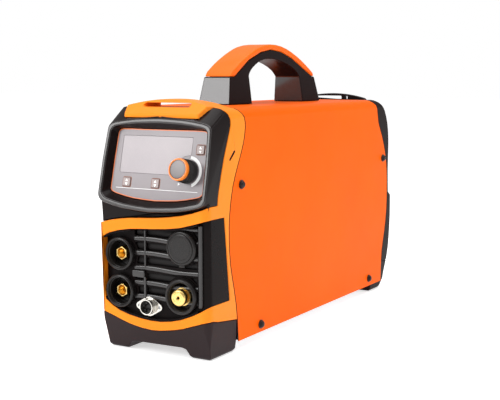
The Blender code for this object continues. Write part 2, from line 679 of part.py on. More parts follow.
def rear_bezel():
    seam, back = rear_outline()
    shell = prism("rear_bezel", case_profile(0, COVER_TOP, 20), "front", -560, -440, PAINT["dark"])
    low_edge = [p for p in seam if p[1] > 44]
    rear_edge = [p for p in back if p[1] > 46]
    side = [(509, 44)] + low_edge + rear_edge[::-1] + [(528.4, 44)]
    shell = within(shell, prism("side", side, "side", -100, 100))
    hollow = prism("hollow", case_profile(WALL, COVER_TOP, 30), "front", -560, -400)
    inside = [(400, 30), (400, 301)] + [(d - WALL, min(h, 301.0)) for d, h in rear_edge[::-1]] + [(525.4, 30)]
    shell = cut(shell, within(hollow, prism("inside", inside, "side", -100, 100)))
    shell = join(shell, tongue(REAR_SEAM, 8, -TONGUE, 60))
    shell = cut(shell, prism("mouth", rounded_box(-68, 68, 58, 258, 8), "front", -560, -508))
    arch = [(60.5, 300)] + [(62 * x, 304 + 9.6 * (1 - x * x)) for x in (k / 8 for k in range(7, -8, -1))]
    arch += [(-60.5, 300)]
    arch = prism("arch", arch, "front", -495, -486)
    for left, right in ((-46, 16), (21.4, 26.6)):
        arch = cut(arch, prism("slot", rounded_box(left, right, 304.1, 309.8, 2), "front", -500, -480))
    shell = join(shell, arch)
    for depth, height in SCREWS[1:2]:
        shell = cut(shell, cylinder("hole", "side", (depth, height), 2.3, -90, 90, segments=16))
    return shell


def rear_base():
    outline = [(-79.8, 43.7), (-76, 3), (-73, 0), (-48, 0), (-45.5, 2.5), (-41, 9), (-34, 11), (34, 11),
               (41, 9), (45.5, 2.5), (48, 0), (73, 0), (76, 3), (79.8, 43.7)]
    base = prism("rear_base", outline, "front", -560, -420, PAINT["dark"])
    side = [(474, 0), (472, 11.6), (507.2, 11.6), (507.6, 43.7), (528.2, 43.7), (523, 24), (519.5, 12.6), (508, 0)]
    base = within(base, prism("side", side, "side", -90, 90))
    return cut(base, box("hollow", (-76, 76), (500, 524), (14, 60)))


def rear_panel():
    panel = prism("rear_panel", rounded_box(-75.8, 75.8, 50, 262, 6), "front", -REAR_PANEL_DEPTH - SHEET,
                  -REAR_PANEL_DEPTH, PAINT["black"])
    panel = cut(panel, cylinder("air", "front", FAN_CENTRE, 56, -530, -515, segments=24))
    x, z = SWITCH
    panel = cut(panel, box("switch", (x - 11.3, x + 11.3), (515, 530), (z - 14.3, z + 14.3)))
    panel = cut(panel, cylinder("gland", "front", GLAND, 10.3, -530, -515, segments=24))
    return cut(panel, cylinder("gas", "front", GAS, 5.3, -530, -515, segments=24))


def fan_guard():
    guard = cylinder("fan_guard", "front", FAN_CENTRE, 60, -525, -522.5, PAINT["black"], segments=24)
    for k in range(3):
        outer = 55.0 - 15 * k
        ring = cylinder("ring", "front", FAN_CENTRE, outer, -530, -515)
        ring = cut(ring, cylinder("core", "front", FAN_CENTRE, outer - 11, -531, -514))
        for turn in (45, 135):
            bar = box("bar", (-1.6, 1.6), (513, 532), (-80, 80))
            bar.data.transform(Matrix.Rotation(math.radians(turn), 4, "Y"))
            bar.data.transform(Matrix.Translation((FAN_CENTRE[0] * MM, 0, FAN_CENTRE[1] * MM)))
            ring = cut(ring, bar)
        guard = cut(guard, ring)
    return guard


def fan():
    x, z = FAN_CENTRE
    half = FAN_SIZE / 2
    frame = prism("fan_frame", rounded_box(x - half, x + half, z - half, z + half, 5), "front", -520.6, -495.6,
                  PAINT["black"])
    frame = cut(frame, cylinder("bore", "front", FAN_CENTRE, 57.5, -530, -490, segments=24))
    hub = cylinder("seat", "front", FAN_CENTRE, 20, -499, -495.6, segments=24)
    for turn in (0, 90):
        strut = box("strut", (-58.5, 58.5), (495.6, 499), (-2, 2))
        strut.data.transform(Matrix.Rotation(math.radians(turn + 45), 4, "Y"))
        strut.data.transform(Matrix.Translation((x * MM, 0, z * MM)))
        hub = join(hub, strut)
    join(frame, hub)
    rotor = cylinder("fan_rotor", "front", FAN_CENTRE, 20, -518, -500, PAINT["black"], segments=24)
    for k in range(7):
        blade = box("blade", (17, 54.5), (ROTOR_DEPTH - 0.9, ROTOR_DEPTH + 0.9), (-11, 11))
        spin = Matrix.Rotation(math.radians(360 / 7 * k), 4, "Y")
        pitch = Matrix.Rotation(math.radians(32), 4, "X")
        centre = Matrix.Translation(Vector((0, ROTOR_DEPTH - MIDDLE, 0)) * MM)
        blade.data.transform(centre @ spin @ pitch @ centre.inverted())
        blade.data.transform(Matrix.Translation((x * MM, 0, z * MM)))
        rotor = join(rotor, blade)
    return hang(rotor, joint_frame("front", FAN_CENTRE, -ROTOR_DEPTH))


def rear_fittings():
    x, z = SWITCH
    body = box("switch_body", (x - 13, x + 13), (REAR_PANEL_DEPTH + SHEET + GAP, 525.5), (z - 16, z + 16),
               PAINT["black"])
    body = join(body, box("bay", (x - 11, x + 11), (499, 524), (z - 14, z + 14)))
    cut(body, box("well", (x - 9, x + 9), (506, 530), (z - 12, z + 12)))
    neutral = [(5, -10.4), (3.4, -5), (2.8, 0), (3.4, 5), (5, 10.4), (0, 10.8), (-7, 4), (-7, -4), (0, -10.8)]
    rocker = prism("switch_rocker", shift(neutral, ROCKER_DEPTH, z), "side", x - 8.6, x + 8.6, PAINT["red"])
    hang(rocker, joint_frame("side", (ROCKER_DEPTH, z), x))
    rocker.matrix_world = rocker.matrix_world @ Matrix.Rotation(math.radians(-ROCKER_TILT), 4, "Z")
    nut = [(5.2, 545), (8.4, 545), (9.8, 540), (11.8, 540), (11.8, 530), (13, 530), (13, 522.6), (9.9, 522.6),
           (9.9, 506), (5.2, 506)]
    turned("cable_gland", "rear", (-GLAND[0], GLAND[1]), nut, PAINT["black"])
    barb = [(0, 545), (3.2, 545), (4.4, 541), (3.4, 541), (4.4, 536.5), (3.4, 536.5), (4.4, 532), (3.6, 530),
            (8.2, 530), (8.2, 522.6), (4.9, 522.6), (4.9, 508), (0, 508)]
    gas = turned("gas_inlet", "rear", (-GAS[0], GAS[1]), barb, PAINT["brass"])
    cut(gas, cylinder("bore", "rear", (-GAS[0], GAS[1]), 2.0, 500, 550, segments=12))


# ---------------------------------------------------------------- fasteners

def cover_screws():
    """Pan-head screws with a fixed washer, one side then the other."""
    places = ("front", "rear", "front_low", "rear_low")
    for side, sign in (("left", -1), ("right", 1)):
        for place, (depth, height) in zip(places, SCREWS):
            face = HALF_WIDTH + GAP
            name = "cover_screw_" + side + "_" + place
            profile = [(0, 4.6), (2.8, 4.3), (4.4, 2.6), (4.6, 1.2), (5.8, 1.2), (5.8, 0), (2.0, 0), (2.0, -7),
                       (0, -7)]
            screw = turned(name, "top", (0, 0), profile, PAINT["black"], 10)
            screw.data.transform(Matrix.Rotation(math.radians(90 * sign), 4, "Y"))
            recentre = Vector((sign * face, depth - MIDDLE, height)) * MM
            spin = Matrix.Translation(Vector((0, MIDDLE, 0)) * MM)
            screw.data.transform(Matrix.Translation(recentre) @ spin)


# ---------------------------------------------------------------- power section

def power_section():
    board = box("power_board", (-70, 70), (118, 452), (128, 129.6), PAINT["board"])
    for x in (-62, 62):
        for depth in (126, 444):
            board = cut(board, cylinder("hole", "top", (x, depth), 2.2, 120, 140, segments=12))
    for name, start in (("heatsink_front", 130), ("heatsink_rear", 272)):
        sink = box(name, (-58, 58), (start, start + 128), (104, 112), PAINT["metal"])
        for k in range(12):
            x = -57 + k * 10.2
            sink = join(sink, box("fin", (x, x + 1.8), (start, start + 128), (52, 105)))
    bracket = [(-62, 15), (62, 15), (62, 127.4), (50, 127.4), (50, 125.9), (60.5, 125.9), (60.5, 16.5),
               (-60.5, 16.5), (-60.5, 125.9), (-50, 125.9), (-50, 127.4), (-62, 127.4)]
    prism("support_bracket", bracket, "front", -404, -126, PAINT["zinc"])
    core = box("transformer_core", (-34, 34), (252, 304), (130, 186), PAINT["ferrite"])
    for left, right in ((-22, -8), (8, 22)):
        core = cut(core, box("leg", (left, right), (240, 320), (142, 174)))
    winding = prism("transformer_winding", rounded_box(-21.4, 21.4, 245, 311, 5), "top", 143, 173, PAINT["copper"])
    cut(winding, box("core_hole", (-8.4, 8.4), (251.4, 304.6), (140, 180)))
    reactor = turned("output_reactor", "top", (-6, 372),
                     [(14, 168), (30, 168), (33, 165), (33, 134), (30, 130.2), (14, 130.2), (12, 134), (12, 165)],
                     PAINT["copper"], 28)
    for name, depth in (("capacitor_front", 160), ("capacitor_rear", 206)):
        can = cylinder(name, "top", (34, depth), 17.5, 130, 182, PAINT["blue"], segments=28)
        soften(can, 1.5)
    valve = box("gas_valve", (-62, -30), (420, 452), (40, 66), PAINT["zinc"])
    join(valve, cylinder("coil", "top", (-46, 436), 12, 60, 92, segments=20))
    box("hf_unit", (-62, -8), (132, 212), (130, 168), PAINT["grey"])


PARTS = bpy.data.collections.new(NAME)
PAINT = {}


def main():
    clear_scene()
    bpy.context.scene.collection.children.link(PARTS)
    colours = {
        "cover": ((0.85, 0.16, 0.02), 0.4, 0.0), "amber": ((0.95, 0.32, 0.04), 0.35, 0.0),
        "orange": ((0.9, 0.2, 0.03), 0.4, 0.0), "dark": ((0.035, 0.03, 0.03), 0.4, 0.0),
        "black": ((0.015, 0.015, 0.015), 0.4, 0.0), "silver": ((0.4, 0.38, 0.39), 0.4, 0.3),
        "lens": ((0.55, 0.52, 0.54), 0.15, 0.0), "glass": ((0.3, 0.32, 0.3), 0.2, 0.0),
        "grey": ((0.2, 0.2, 0.2), 0.4, 0.0), "button": ((0.75, 0.72, 0.7), 0.4, 0.0),
        "brass": ((0.8, 0.55, 0.15), 0.25, 1.0), "chrome": ((0.75, 0.75, 0.72), 0.15, 1.0),
        "zinc": ((0.55, 0.56, 0.56), 0.4, 0.9), "metal": ((0.6, 0.6, 0.6), 0.35, 0.9),
        "board": ((0.02, 0.16, 0.06), 0.5, 0.0), "copper": ((0.45, 0.16, 0.05), 0.4, 0.6),
        "ferrite": ((0.06, 0.06, 0.065), 0.6, 0.0), "blue": ((0.02, 0.05, 0.2), 0.35, 0.0),
        "red": ((0.5, 0.02, 0.02), 0.35, 0.0),
    }
    for name, (colour, rough, metal) in colours.items():
        PAINT[name] = paint(name, colour, rough, metal)
    steel_cover()
    base_pan()
    front_frame()
    control_hood()
    front_grille()
    front_base()
    panel_parts()
    knob_parts()
    buttons()
    weld_sockets()
    blank_cap()
    torch_socket()
    aviation_socket()
    handle()
    rear_bezel()
    rear_base()
    rear_panel()
    fan_guard()
    fan()
    rear_fittings()
    cover_screws()
    power_section()


main()
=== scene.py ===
import json
import math

import bpy
from mathutils import Matrix, Vector


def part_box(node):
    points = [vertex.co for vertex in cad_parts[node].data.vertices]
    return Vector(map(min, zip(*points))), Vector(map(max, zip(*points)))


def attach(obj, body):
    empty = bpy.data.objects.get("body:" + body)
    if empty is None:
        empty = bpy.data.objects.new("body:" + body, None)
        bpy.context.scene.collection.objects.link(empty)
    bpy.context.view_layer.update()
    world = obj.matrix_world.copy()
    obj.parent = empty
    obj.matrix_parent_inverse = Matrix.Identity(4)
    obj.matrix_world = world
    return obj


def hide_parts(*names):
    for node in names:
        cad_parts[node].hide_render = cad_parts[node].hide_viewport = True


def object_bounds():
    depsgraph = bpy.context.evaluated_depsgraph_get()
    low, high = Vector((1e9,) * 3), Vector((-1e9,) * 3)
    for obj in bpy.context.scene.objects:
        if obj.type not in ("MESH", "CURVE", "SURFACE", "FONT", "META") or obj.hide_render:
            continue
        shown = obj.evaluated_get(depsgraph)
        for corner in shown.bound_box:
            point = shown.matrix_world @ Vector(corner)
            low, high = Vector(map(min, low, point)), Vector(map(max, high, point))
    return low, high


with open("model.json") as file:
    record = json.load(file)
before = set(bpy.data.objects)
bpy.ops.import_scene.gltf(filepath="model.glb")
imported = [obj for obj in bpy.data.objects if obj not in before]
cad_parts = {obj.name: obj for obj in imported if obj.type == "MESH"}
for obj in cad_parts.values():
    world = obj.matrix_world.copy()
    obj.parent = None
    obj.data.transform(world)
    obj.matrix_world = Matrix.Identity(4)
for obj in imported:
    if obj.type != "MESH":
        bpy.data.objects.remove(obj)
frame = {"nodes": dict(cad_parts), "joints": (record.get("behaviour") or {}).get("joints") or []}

cad_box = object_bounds()
MM = 0.001

# ---------------------------------------------------------------- studio
# A pale floor that fills the view, a white room and three soft boxes:
# one overhead, one ahead of the left front corner and one beyond the right side.
bpy.context.scene.view_settings.view_transform = "Standard"
FLOOR_SIZE = 24.0
FLOOR_DROP = 0.0004
lowest = cad_box[0]

bpy.ops.object.select_all(action="DESELECT")
bpy.ops.mesh.primitive_plane_add(size=FLOOR_SIZE, location=(0, 0, lowest[2] - FLOOR_DROP))
floor = bpy.context.object
floor.name = "studio_floor"

floor_paint = bpy.data.materials.new("pale_floor")
floor_paint.use_nodes = True
floor_shader = floor_paint.node_tree.nodes["Principled BSDF"]
floor_shader.inputs["Base Color"].default_value = (0.93, 0.93, 0.93, 1)
floor_shader.inputs["Roughness"].default_value = 0.5
floor_shader.inputs["Emission Color"].default_value = (1.0, 1.0, 1.0, 1)
floor_shader.inputs["Emission Strength"].default_value = 0.58
floor.data.materials.append(floor_paint)

room = bpy.data.worlds.new("white_room")
room.use_nodes = True
backdrop = room.node_tree.nodes["Background"]
backdrop.inputs["Color"].default_value = (1.0, 1.0, 1.0, 1)
glow = room.node_tree.nodes.new("ShaderNodeMapRange")
glow.inputs["To Min"].default_value = 0.52
glow.inputs["To Max"].default_value = 1.0
seen = room.node_tree.nodes.new("ShaderNodeLightPath").outputs["Is Camera Ray"]
room.node_tree.links.new(seen, glow.inputs["Value"])
room.node_tree.links.new(glow.outputs["Result"], backdrop.inputs["Strength"])
bpy.context.scene.world = room


def soft_box(name, place, aim, size, power, colour=(1, 1, 1)):
    lamp = bpy.data.lights.new(name, "AREA")
    lamp.shape = "RECTANGLE"
    lamp.size, lamp.size_y = size
    lamp.energy = power
    lamp.color = colour
    item = bpy.data.objects.new(name, lamp)
    item.location = place
    item.rotation_euler = (Vector(aim) - Vector(place)).to_track_quat("-Z", "Y").to_euler()
    bpy.context.scene.collection.objects.link(item)


soft_box("top_box", (0.1, -0.1, 1.9), (0, 0, 0.2), (2.0, 2.0), 30)
soft_box("front_box", (-0.8, -1.5, 0.95), (0, -0.2, 0.26), (0.8, 0.8), 15)
soft_box("side_box", (2.1, 0.5, 0.9), (0, 0.05, 0.15), (1.4, 1.4), 9)

camera_data = bpy.data.cameras.new("camera")
camera_data.lens = 74.53
camera_data.sensor_width = 36
camera = bpy.data.objects.new("camera", camera_data)
camera.location = (0.73429, -1.28470, 0.34523)
camera.rotation_euler = (math.radians(90 - 6.974), 0, math.radians(30.475))
bpy.context.scene.collection.objects.link(camera)
bpy.context.scene.camera = camera

# ---------------------------------------------------------------- steel cover
# Folded 1.2 mm sheet steel, powder coated orange, slid over the tongues of both
# end mouldings and held by four screws a side.


def group(name, inputs, outputs):
    """New shader node group with named float inputs and outputs; returns its tree and end nodes."""
    tree = bpy.data.node_groups.new(name, "ShaderNodeTree")
    for label, value in inputs.items():
        kind = "NodeSocketColor" if isinstance(value, tuple) else "NodeSocketFloat"
        socket = tree.interface.new_socket(label, in_out="INPUT", socket_type=kind)
        socket.default_value = value
    for label, kind in outputs.items():
        tree.interface.new_socket(label, in_out="OUTPUT", socket_type=kind)
    return tree, tree.nodes.new("NodeGroupInput"), tree.nodes.new("NodeGroupOutput")


def noise(tree, scale_from, coordinates, detail=3.0, rough=0.55):
    node = tree.nodes.new("ShaderNodeTexNoise")
    node.inputs["Detail"].default_value = detail
    node.inputs["Roughness"].default_value = rough
    tree.links.new(coordinates, node.inputs["Vector"])
    if isinstance(scale_from, float):
        node.inputs["Scale"].default_value = scale_from
    else:
        tree.links.new(scale_from, node.inputs["Scale"])
    return node.outputs["Fac"]


def spread(tree, source, low, high, start, end):
    """Map a 0 to 1 value onto another range; any bound may be a socket."""
    node = tree.nodes.new("ShaderNodeMapRange")
    tree.links.new(source, node.inputs["Value"])
    for label, value in (("From Min", low), ("From Max", high), ("To Min", start), ("To Max", end)):
        if isinstance(value, (int, float)):
            node.inputs[label].default_value = value
        else:
            tree.links.new(value, node.inputs[label])
    return node.outputs["Result"]


def calculate(tree, operation, first, second):
    node = tree.nodes.new("ShaderNodeMath")
    node.operation = operation
    for socket, value in zip(node.inputs, (first, second)):
        if isinstance(value, (int, float)):
            socket.default_value = value
        else:
            tree.links.new(value, socket)
    return node.outputs["Value"]


def blend_colour(tree, mask, first, second):
    node = tree.nodes.new("ShaderNodeMix")
    node.data_type = "RGBA"
    tree.links.new(mask, node.inputs["Factor"])
    for socket, value in zip([s for s in node.inputs if s.type == "RGBA"], (first, second)):
        if isinstance(value, tuple):
            socket.default_value = value
        else:
            tree.links.new(value, socket)
    return next(s for s in node.outputs if s.type == "RGBA")


# Tone: slow blotches and a fine speckle between two colours.
tone_tree, tone_in, tone_out = group(
    "tone",
    {"Colour": (0.5, 0.5, 0.5, 1), "Shade": (0.4, 0.4, 0.4, 1), "Blotch Scale": 9.0, "Speckle Scale": 900.0},
    {"Colour": "NodeSocketColor"})
place = tone_tree.nodes.new("ShaderNodeTexCoord").outputs["Object"]
blotch = noise(tone_tree, tone_in.outputs["Blotch Scale"], place, 4.0)
speckle = noise(tone_tree, tone_in.outputs["Speckle Scale"], place, 2.0)
mixed = calculate(tone_tree, "ADD", spread(tone_tree, blotch, 0.3, 0.7, 0.0, 0.7),
                  spread(tone_tree, speckle, 0.3, 0.7, 0.0, 0.3))
tone_tree.links.new(blend_colour(tone_tree, mixed, tone_in.outputs["Colour"], tone_in.outputs["Shade"]),
                    tone_out.inputs["Colour"])

# Texture: the moulded or sprayed skin's fine relief, and the gloss that varies with it.
skin_tree, skin_in, skin_out = group(
    "skin_texture", {"Scale": 600.0, "Roughness": 0.4, "Roughness Spread": 0.1},
    {"Height": "NodeSocketFloat", "Roughness": "NodeSocketFloat"})
place = skin_tree.nodes.new("ShaderNodeTexCoord").outputs["Object"]
fine = noise(skin_tree, skin_in.outputs["Scale"], place, 3.0)
smudge = noise(skin_tree, 14.0, place, 5.0, 0.6)
skin_tree.links.new(fine, skin_out.inputs["Height"])
lift = calculate(skin_tree, "MULTIPLY", spread(skin_tree, smudge, 0.3, 0.7, -0.5, 0.5),
                 skin_in.outputs["Roughness Spread"])
skin_tree.links.new(calculate(skin_tree, "ADD", lift, skin_in.outputs["Roughness"]),
                    skin_out.inputs["Roughness"])

# Edge rub: where a corner's rounded normal leaves the flat one, broken up by noise.
rub_tree, rub_in, rub_out = group("edge_rub", {"Amount": 0.5}, {"Mask": "NodeSocketFloat"})
corner = rub_tree.nodes.new("ShaderNodeBevel")
corner.samples = 4
corner.inputs["Radius"].default_value = 1.2 * MM
flat_normal = rub_tree.nodes.new("ShaderNodeNewGeometry").outputs["Normal"]
agree = rub_tree.nodes.new("ShaderNodeVectorMath")
agree.operation = "DOT_PRODUCT"
rub_tree.links.new(corner.outputs["Normal"], agree.inputs[0])
rub_tree.links.new(flat_normal, agree.inputs[1])
edge = spread(rub_tree, agree.outputs["Value"], 0.995, 0.85, 0.0, 1.0)
place = rub_tree.nodes.new("ShaderNodeTexCoord").outputs["Object"]
patchy = spread(rub_tree, noise(rub_tree, 90.0, place, 5.0, 0.65), 0.42, 0.68, 0.0, 1.0)
rub_tree.links.new(calculate(rub_tree, "MULTIPLY", calculate(rub_tree, "MULTIPLY", edge, patchy),
                             rub_in.outputs["Amount"]), rub_out.inputs["Mask"])

# Dust: a faint film on upward faces, thicker in patches.
dust_tree, dust_in, dust_out = group("settled_dust", {"Amount": 0.1}, {"Mask": "NodeSocketFloat"})
upward = dust_tree.nodes.new("ShaderNodeSeparateXYZ")
dust_tree.links.new(dust_tree.nodes.new("ShaderNodeNewGeometry").outputs["Normal"], upward.inputs["Vector"])
place = dust_tree.nodes.new("ShaderNodeTexCoord").outputs["Object"]
film = calculate(dust_tree, "MULTIPLY", spread(dust_tree, upward.outputs["Z"], 0.35, 1.0, 0.0, 1.0),
                 spread(dust_tree, noise(dust_tree, 45.0, place, 6.0, 0.7), 0.35, 0.75, 0.2, 1.0))
dust_tree.links.new(calculate(dust_tree, "MULTIPLY", film, dust_in.outputs["Amount"]),
                    dust_out.inputs["Mask"])


def add_group(material, tree, **values):
    node = material.node_tree.nodes.new("ShaderNodeGroup")
    node.node_tree = tree
    for label, value in values.items():
        node.inputs[label.replace("_", " ")].default_value = value
    return node


def finish(name, colour, shade, rough, gloss_spread=0.1, metal=0.0, coat=0.0, grain=600.0, relief=0.02,
           rub=(0.5, 0.5, 0.5), rub_amount=0.0, dust=0.06, blotch=9.0, speckle=900.0, shine=0.5):
    """Procedural finish: toned colour, varying gloss, fine relief, rubbed corners and a little dust."""
    material = bpy.data.materials.new(name)
    material.use_nodes = True
    nodes, links = material.node_tree.nodes, material.node_tree.links
    shader = nodes["Principled BSDF"]
    shader.inputs["Metallic"].default_value = metal
    shader.inputs["Coat Weight"].default_value = coat
    shader.inputs["Coat Roughness"].default_value = 0.12
    shader.inputs["Specular IOR Level"].default_value = shine
    tone = add_group(material, tone_tree, Colour=(*colour, 1), Shade=(*shade, 1), Blotch_Scale=blotch,
                     Speckle_Scale=speckle)
    skin = add_group(material, skin_tree, Scale=grain, Roughness=rough, Roughness_Spread=gloss_spread)
    result = tone.outputs["Colour"]
    if rub_amount:
        worn = add_group(material, rub_tree, Amount=rub_amount)
        result = blend_colour(material.node_tree, worn.outputs["Mask"], result, (*rub, 1))
    if dust:
        film = add_group(material, dust_tree, Amount=dust)
        result = blend_colour(material.node_tree, film.outputs["Mask"], result, (0.62, 0.58, 0.53, 1))
    bump = nodes.new("ShaderNodeBump")
    bump.inputs["Distance"].default_value = relief * MM
    bump.inputs["Strength"].default_value = 0.6
    links.new(skin.outputs["Height"], bump.inputs["Height"])
    links.new(bump.outputs["Normal"], shader.inputs["Normal"])
    links.new(skin.outputs["Roughness"], shader.inputs["Roughness"])
    links.new(result, shader.inputs["Base Color"])
    return material


def only(piece):
    """Make a piece the only selected and the active object."""
    bpy.ops.object.select_all(action="DESELECT")
    piece.select_set(True)
    bpy.context.view_layer.objects.active = piece


def apply_modifier(piece, kind, **settings):
    only(piece)
    modifier = piece.modifiers.new(kind.lower(), kind)
    for label, value in settings.items():
        setattr(modifier, label, value)
    bpy.ops.object.modifier_apply(modifier=modifier.name)


def set_in(piece, material, body, slot, *nodes):
    """Give a finished piece its material and its body, and hide the CAD nodes it stands for. The slot argument
    is not used.
    """
    piece.data.materials.clear()
    piece.data.materials.append(material)
    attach(piece, body)
    if nodes:
        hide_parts(*nodes)


def round_over(piece, width, angle=32, segments=3, smooth=38):
    """Round a piece's hard edges and shade it smoothly."""
    apply_modifier(piece, "BEVEL", width=width * MM, segments=segments, limit_method="ANGLE",
                   angle_limit=math.radians(angle), use_clamp_overlap=False, miter_outer="MITER_ARC")
    only(piece)
    bpy.ops.object.shade_smooth_by_angle(angle=math.radians(smooth))
    apply_modifier(piece, "WEIGHTED_NORMAL", keep_sharp=True)


def from_frame(node, name):
    """Merged copy of a CAD node's shape, ready to be finished."""
    source = frame["nodes"][node]
    piece = bpy.data.objects.new(name, source.data.copy())
    bpy.context.scene.collection.objects.link(piece)
    only(piece)
    bpy.ops.object.mode_set(mode="EDIT")
    bpy.ops.mesh.select_all(action="SELECT")
    bpy.ops.mesh.remove_doubles(threshold=0.00001)
    bpy.ops.mesh.dissolve_limited(angle_limit=math.radians(0.5))
    bpy.ops.object.mode_set(mode="OBJECT")
    return piece


def finished_copy(node, name, width, material, body, slot, angle=32, segments=3, smooth=38):
    piece = from_frame(node, name)
    round_over(piece, width, angle, segments, smooth)
    set_in(piece, material, body, slot, node)
    return piece


powder_coat = finish("orange_powder_coat", (0.93, 0.128, 0.002), (0.88, 0.112, 0.002), 0.42, 0.08,
                     grain=420.0, relief=0.035, rub=(0.95, 0.3, 0.08), rub_amount=0.2, dust=0.02, shine=0.04)
# Near-black used as painted shade in the case's joints, where shadow falls in the gaps; it is also the guide
# blades' own dull black.
seam_shade_and_blade_black = finish("seam_shade_and_blade_black", (0.010, 0.008, 0.008), (0.006, 0.005, 0.005), 0.6, grain=500.0, dust=0.0,
                     shine=0.2)
cover = finished_copy("steel_cover", "powder_coated_cover", 0.25, powder_coat, "case", "cover", segments=1)
cover.data.materials.append(seam_shade_and_blade_black)
# The cover's front and rear edge faces are painted this black: painted shade in its joints with the end
# mouldings.
CUT_EDGE = 0.55
for face in cover.data.polygons:
    if abs(face.normal.y) > CUT_EDGE:
        face.material_index = 1

# ---------------------------------------------------------------- base pan
# Zinc plated sheet tray that carries the power section; the cover's screws catch its side flanges.
zinc_plate = finish("zinc_plate", (0.52, 0.53, 0.54), (0.38, 0.39, 0.41), 0.36, 0.18, metal=0.9, grain=260.0,
                    relief=0.02, dust=0.1, blotch=40.0)
finished_copy("base_pan", "zinc_base_tray", 0.3, zinc_plate, "case", "zinc", segments=2)

# ---------------------------------------------------------------- front moulding
# Amber glass-filled nylon frame: top hump with its strap slot, side strips, waist band and lower band.
# The lip that slides under the cover and the frame's rear edge faces at the joint are painted black as painted
# shade, which draws the dark line of the joint; the small mark in the right-hand strip is painted black too.
LIP_INSET = 1.25 * MM
COVER_CORNER = 13.0 * MM
MARK_LOW = Vector((74.0, -222.5, 239.0)) * MM
MARK_HIGH = Vector((79.7, -207.5, 253.0)) * MM
amber_nylon = finish("amber_nylon", (0.94, 0.262, 0.011), (0.91, 0.225, 0.009), 0.36, 0.1, grain=700.0,
                     relief=0.03, rub=(1.0, 0.45, 0.1), rub_amount=0.25, dust=0.02, shine=0.12)
front_moulding = finished_copy("front_frame", "front_moulding", 1.1, amber_nylon, "case", "amber")
front_moulding.data.materials.append(seam_shade_and_blade_black)
cover_low, cover_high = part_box("steel_cover")
lip_start = cover_low[1] + 0.2 * MM


def under_cover(point):
    """How far a point lies inside the cover's outer skin."""
    across = abs(point.x) - (cover_high[0] - COVER_CORNER)
    above = point.z - (cover_high[2] - COVER_CORNER)
    if across > 0 and above > 0:
        return COVER_CORNER - math.hypot(across, above)
    return COVER_CORNER - max(across, above)


# Painted shade: the lip and the rear edge faces in the joint take the black.
for face in front_moulding.data.polygons:
    lip = under_cover(face.center) > LIP_INSET and face.center.y > lip_start
    rear_edge = face.normal.y > 0.6 and face.center.y > lip_start
    in_mark = MARK_LOW.y < face.center.y < MARK_HIGH.y and MARK_LOW.z < face.center.z < MARK_HIGH.z
    if lip or rear_edge or (in_mark and MARK_LOW.x < face.center.x < MARK_HIGH.x):
        face.material_index = 1

# ---------------------------------------------------------------- dark mouldings
# Nylon in near-black shades: the hood round the panel with its glossier rim, whose colour is lighter than the
# hood's as a painted highlight, the front feet, in a lighter copy of the nylon as a painted highlight, the rear
# moulding and feet, and the louvred lower panel with its slats.
dark_nylon = finish("charcoal_nylon", (0.015, 0.0085, 0.0085), (0.010, 0.006, 0.006), 0.36, 0.1, grain=800.0,
                    relief=0.03, rub=(0.06, 0.045, 0.043), rub_amount=0.3, dust=0.008, shine=0.04)
hood_nylon = finish("hood_nylon", (0.009, 0.005, 0.005), (0.006, 0.0035, 0.0035), 0.24, 0.07, grain=800.0,
                    relief=0.02, rub=(0.07, 0.06, 0.058), rub_amount=0.2, dust=0.006, shine=0.12)
# The rim's nylon is the hood's nylon painted lighter, as a painted highlight, and given a glossier coat.
rim_highlight_nylon = finish("rim_highlight_nylon", (0.018, 0.014, 0.014), (0.013, 0.010, 0.010), 0.22, 0.06, coat=0.3,
                   grain=800.0, relief=0.015, rub=(0.12, 0.11, 0.11), rub_amount=0.2, dust=0.01, shine=0.4)
RIM_DEPTH = 1.3 * MM
hood = finished_copy("control_hood", "hood_moulding", 1.5, hood_nylon, "case", "dark", segments=4)
hood.data.materials.append(rim_highlight_nylon)
knob_joint = next(joint for joint in frame["joints"] if joint["name"] == "knob_turn")
panel_out = Vector(knob_joint["axis"]).normalized()
rim_out = max(panel_out.dot(corner.co) for corner in hood.data.vertices)
# Rim faces, furthest out along the panel's normal, take the lighter nylon as a painted highlight.
for face in hood.data.polygons:
    if panel_out.dot(face.center) > rim_out - RIM_DEPTH:
        face.material_index = 1
# The front feet take a lighter copy of the charcoal nylon: a painted highlight for the light their front faces
# catch.
front_feet_highlight_nylon = finish("front_feet_highlight_nylon", (0.032, 0.0225, 0.0235), (0.023, 0.016, 0.017), 0.4, 0.1, grain=700.0,
                    relief=0.04, rub=(0.09, 0.075, 0.07), rub_amount=0.3, dust=0.01, shine=0.06)
finished_copy("front_base", "front_feet", 1.4, front_feet_highlight_nylon, "case", "dark")
finished_copy("rear_bezel", "rear_moulding", 0.9, dark_nylon, "case", "dark")
finished_copy("rear_base", "rear_feet", 1.2, dark_nylon, "case", "dark")
louvre_nylon = finish("louvre_nylon", (0.007, 0.005, 0.005), (0.005, 0.0035, 0.0035), 0.3, 0.1, grain=800.0,
                      relief=0.03, rub=(0.06, 0.05, 0.048), rub_amount=0.3, dust=0.006, shine=0.04)
slat_nylon = finish("slat_nylon", (0.010, 0.008, 0.008), (0.007, 0.005, 0.005), 0.26, 0.08, grain=800.0,
                    relief=0.02, dust=0.006, shine=0.6)
finished_copy("front_grille", "louvre_panel", 0.35, louvre_nylon, "case", "dark", segments=2)

# ---------------------------------------------------------------- louvre slats
# Rounded slats moulded across the lower panel, each slightly wavy, with duller guide blades behind
# them, and a block and upright ribs among and beside them.
SOCKET_PROUD = 8.2 * MM
pocket_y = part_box("socket_body_upper")[0][1] + SOCKET_PROUD
SLAT_ROWS = (159.5, 141.8, 124.0, 105.2, 86.5, 69.5)
SLAT_LEFT, SLAT_RIGHT = -33.0, 61.0
SLAT_RADIUS = 3.4
SLAT_WAVE = 1.0
SLAT_DEPTH = 0.6
SLAT_CUTS = 24
BLADE_RADIUS = 7.0
BLADE_WAVE = 0.8
BLADE_BEHIND = 7


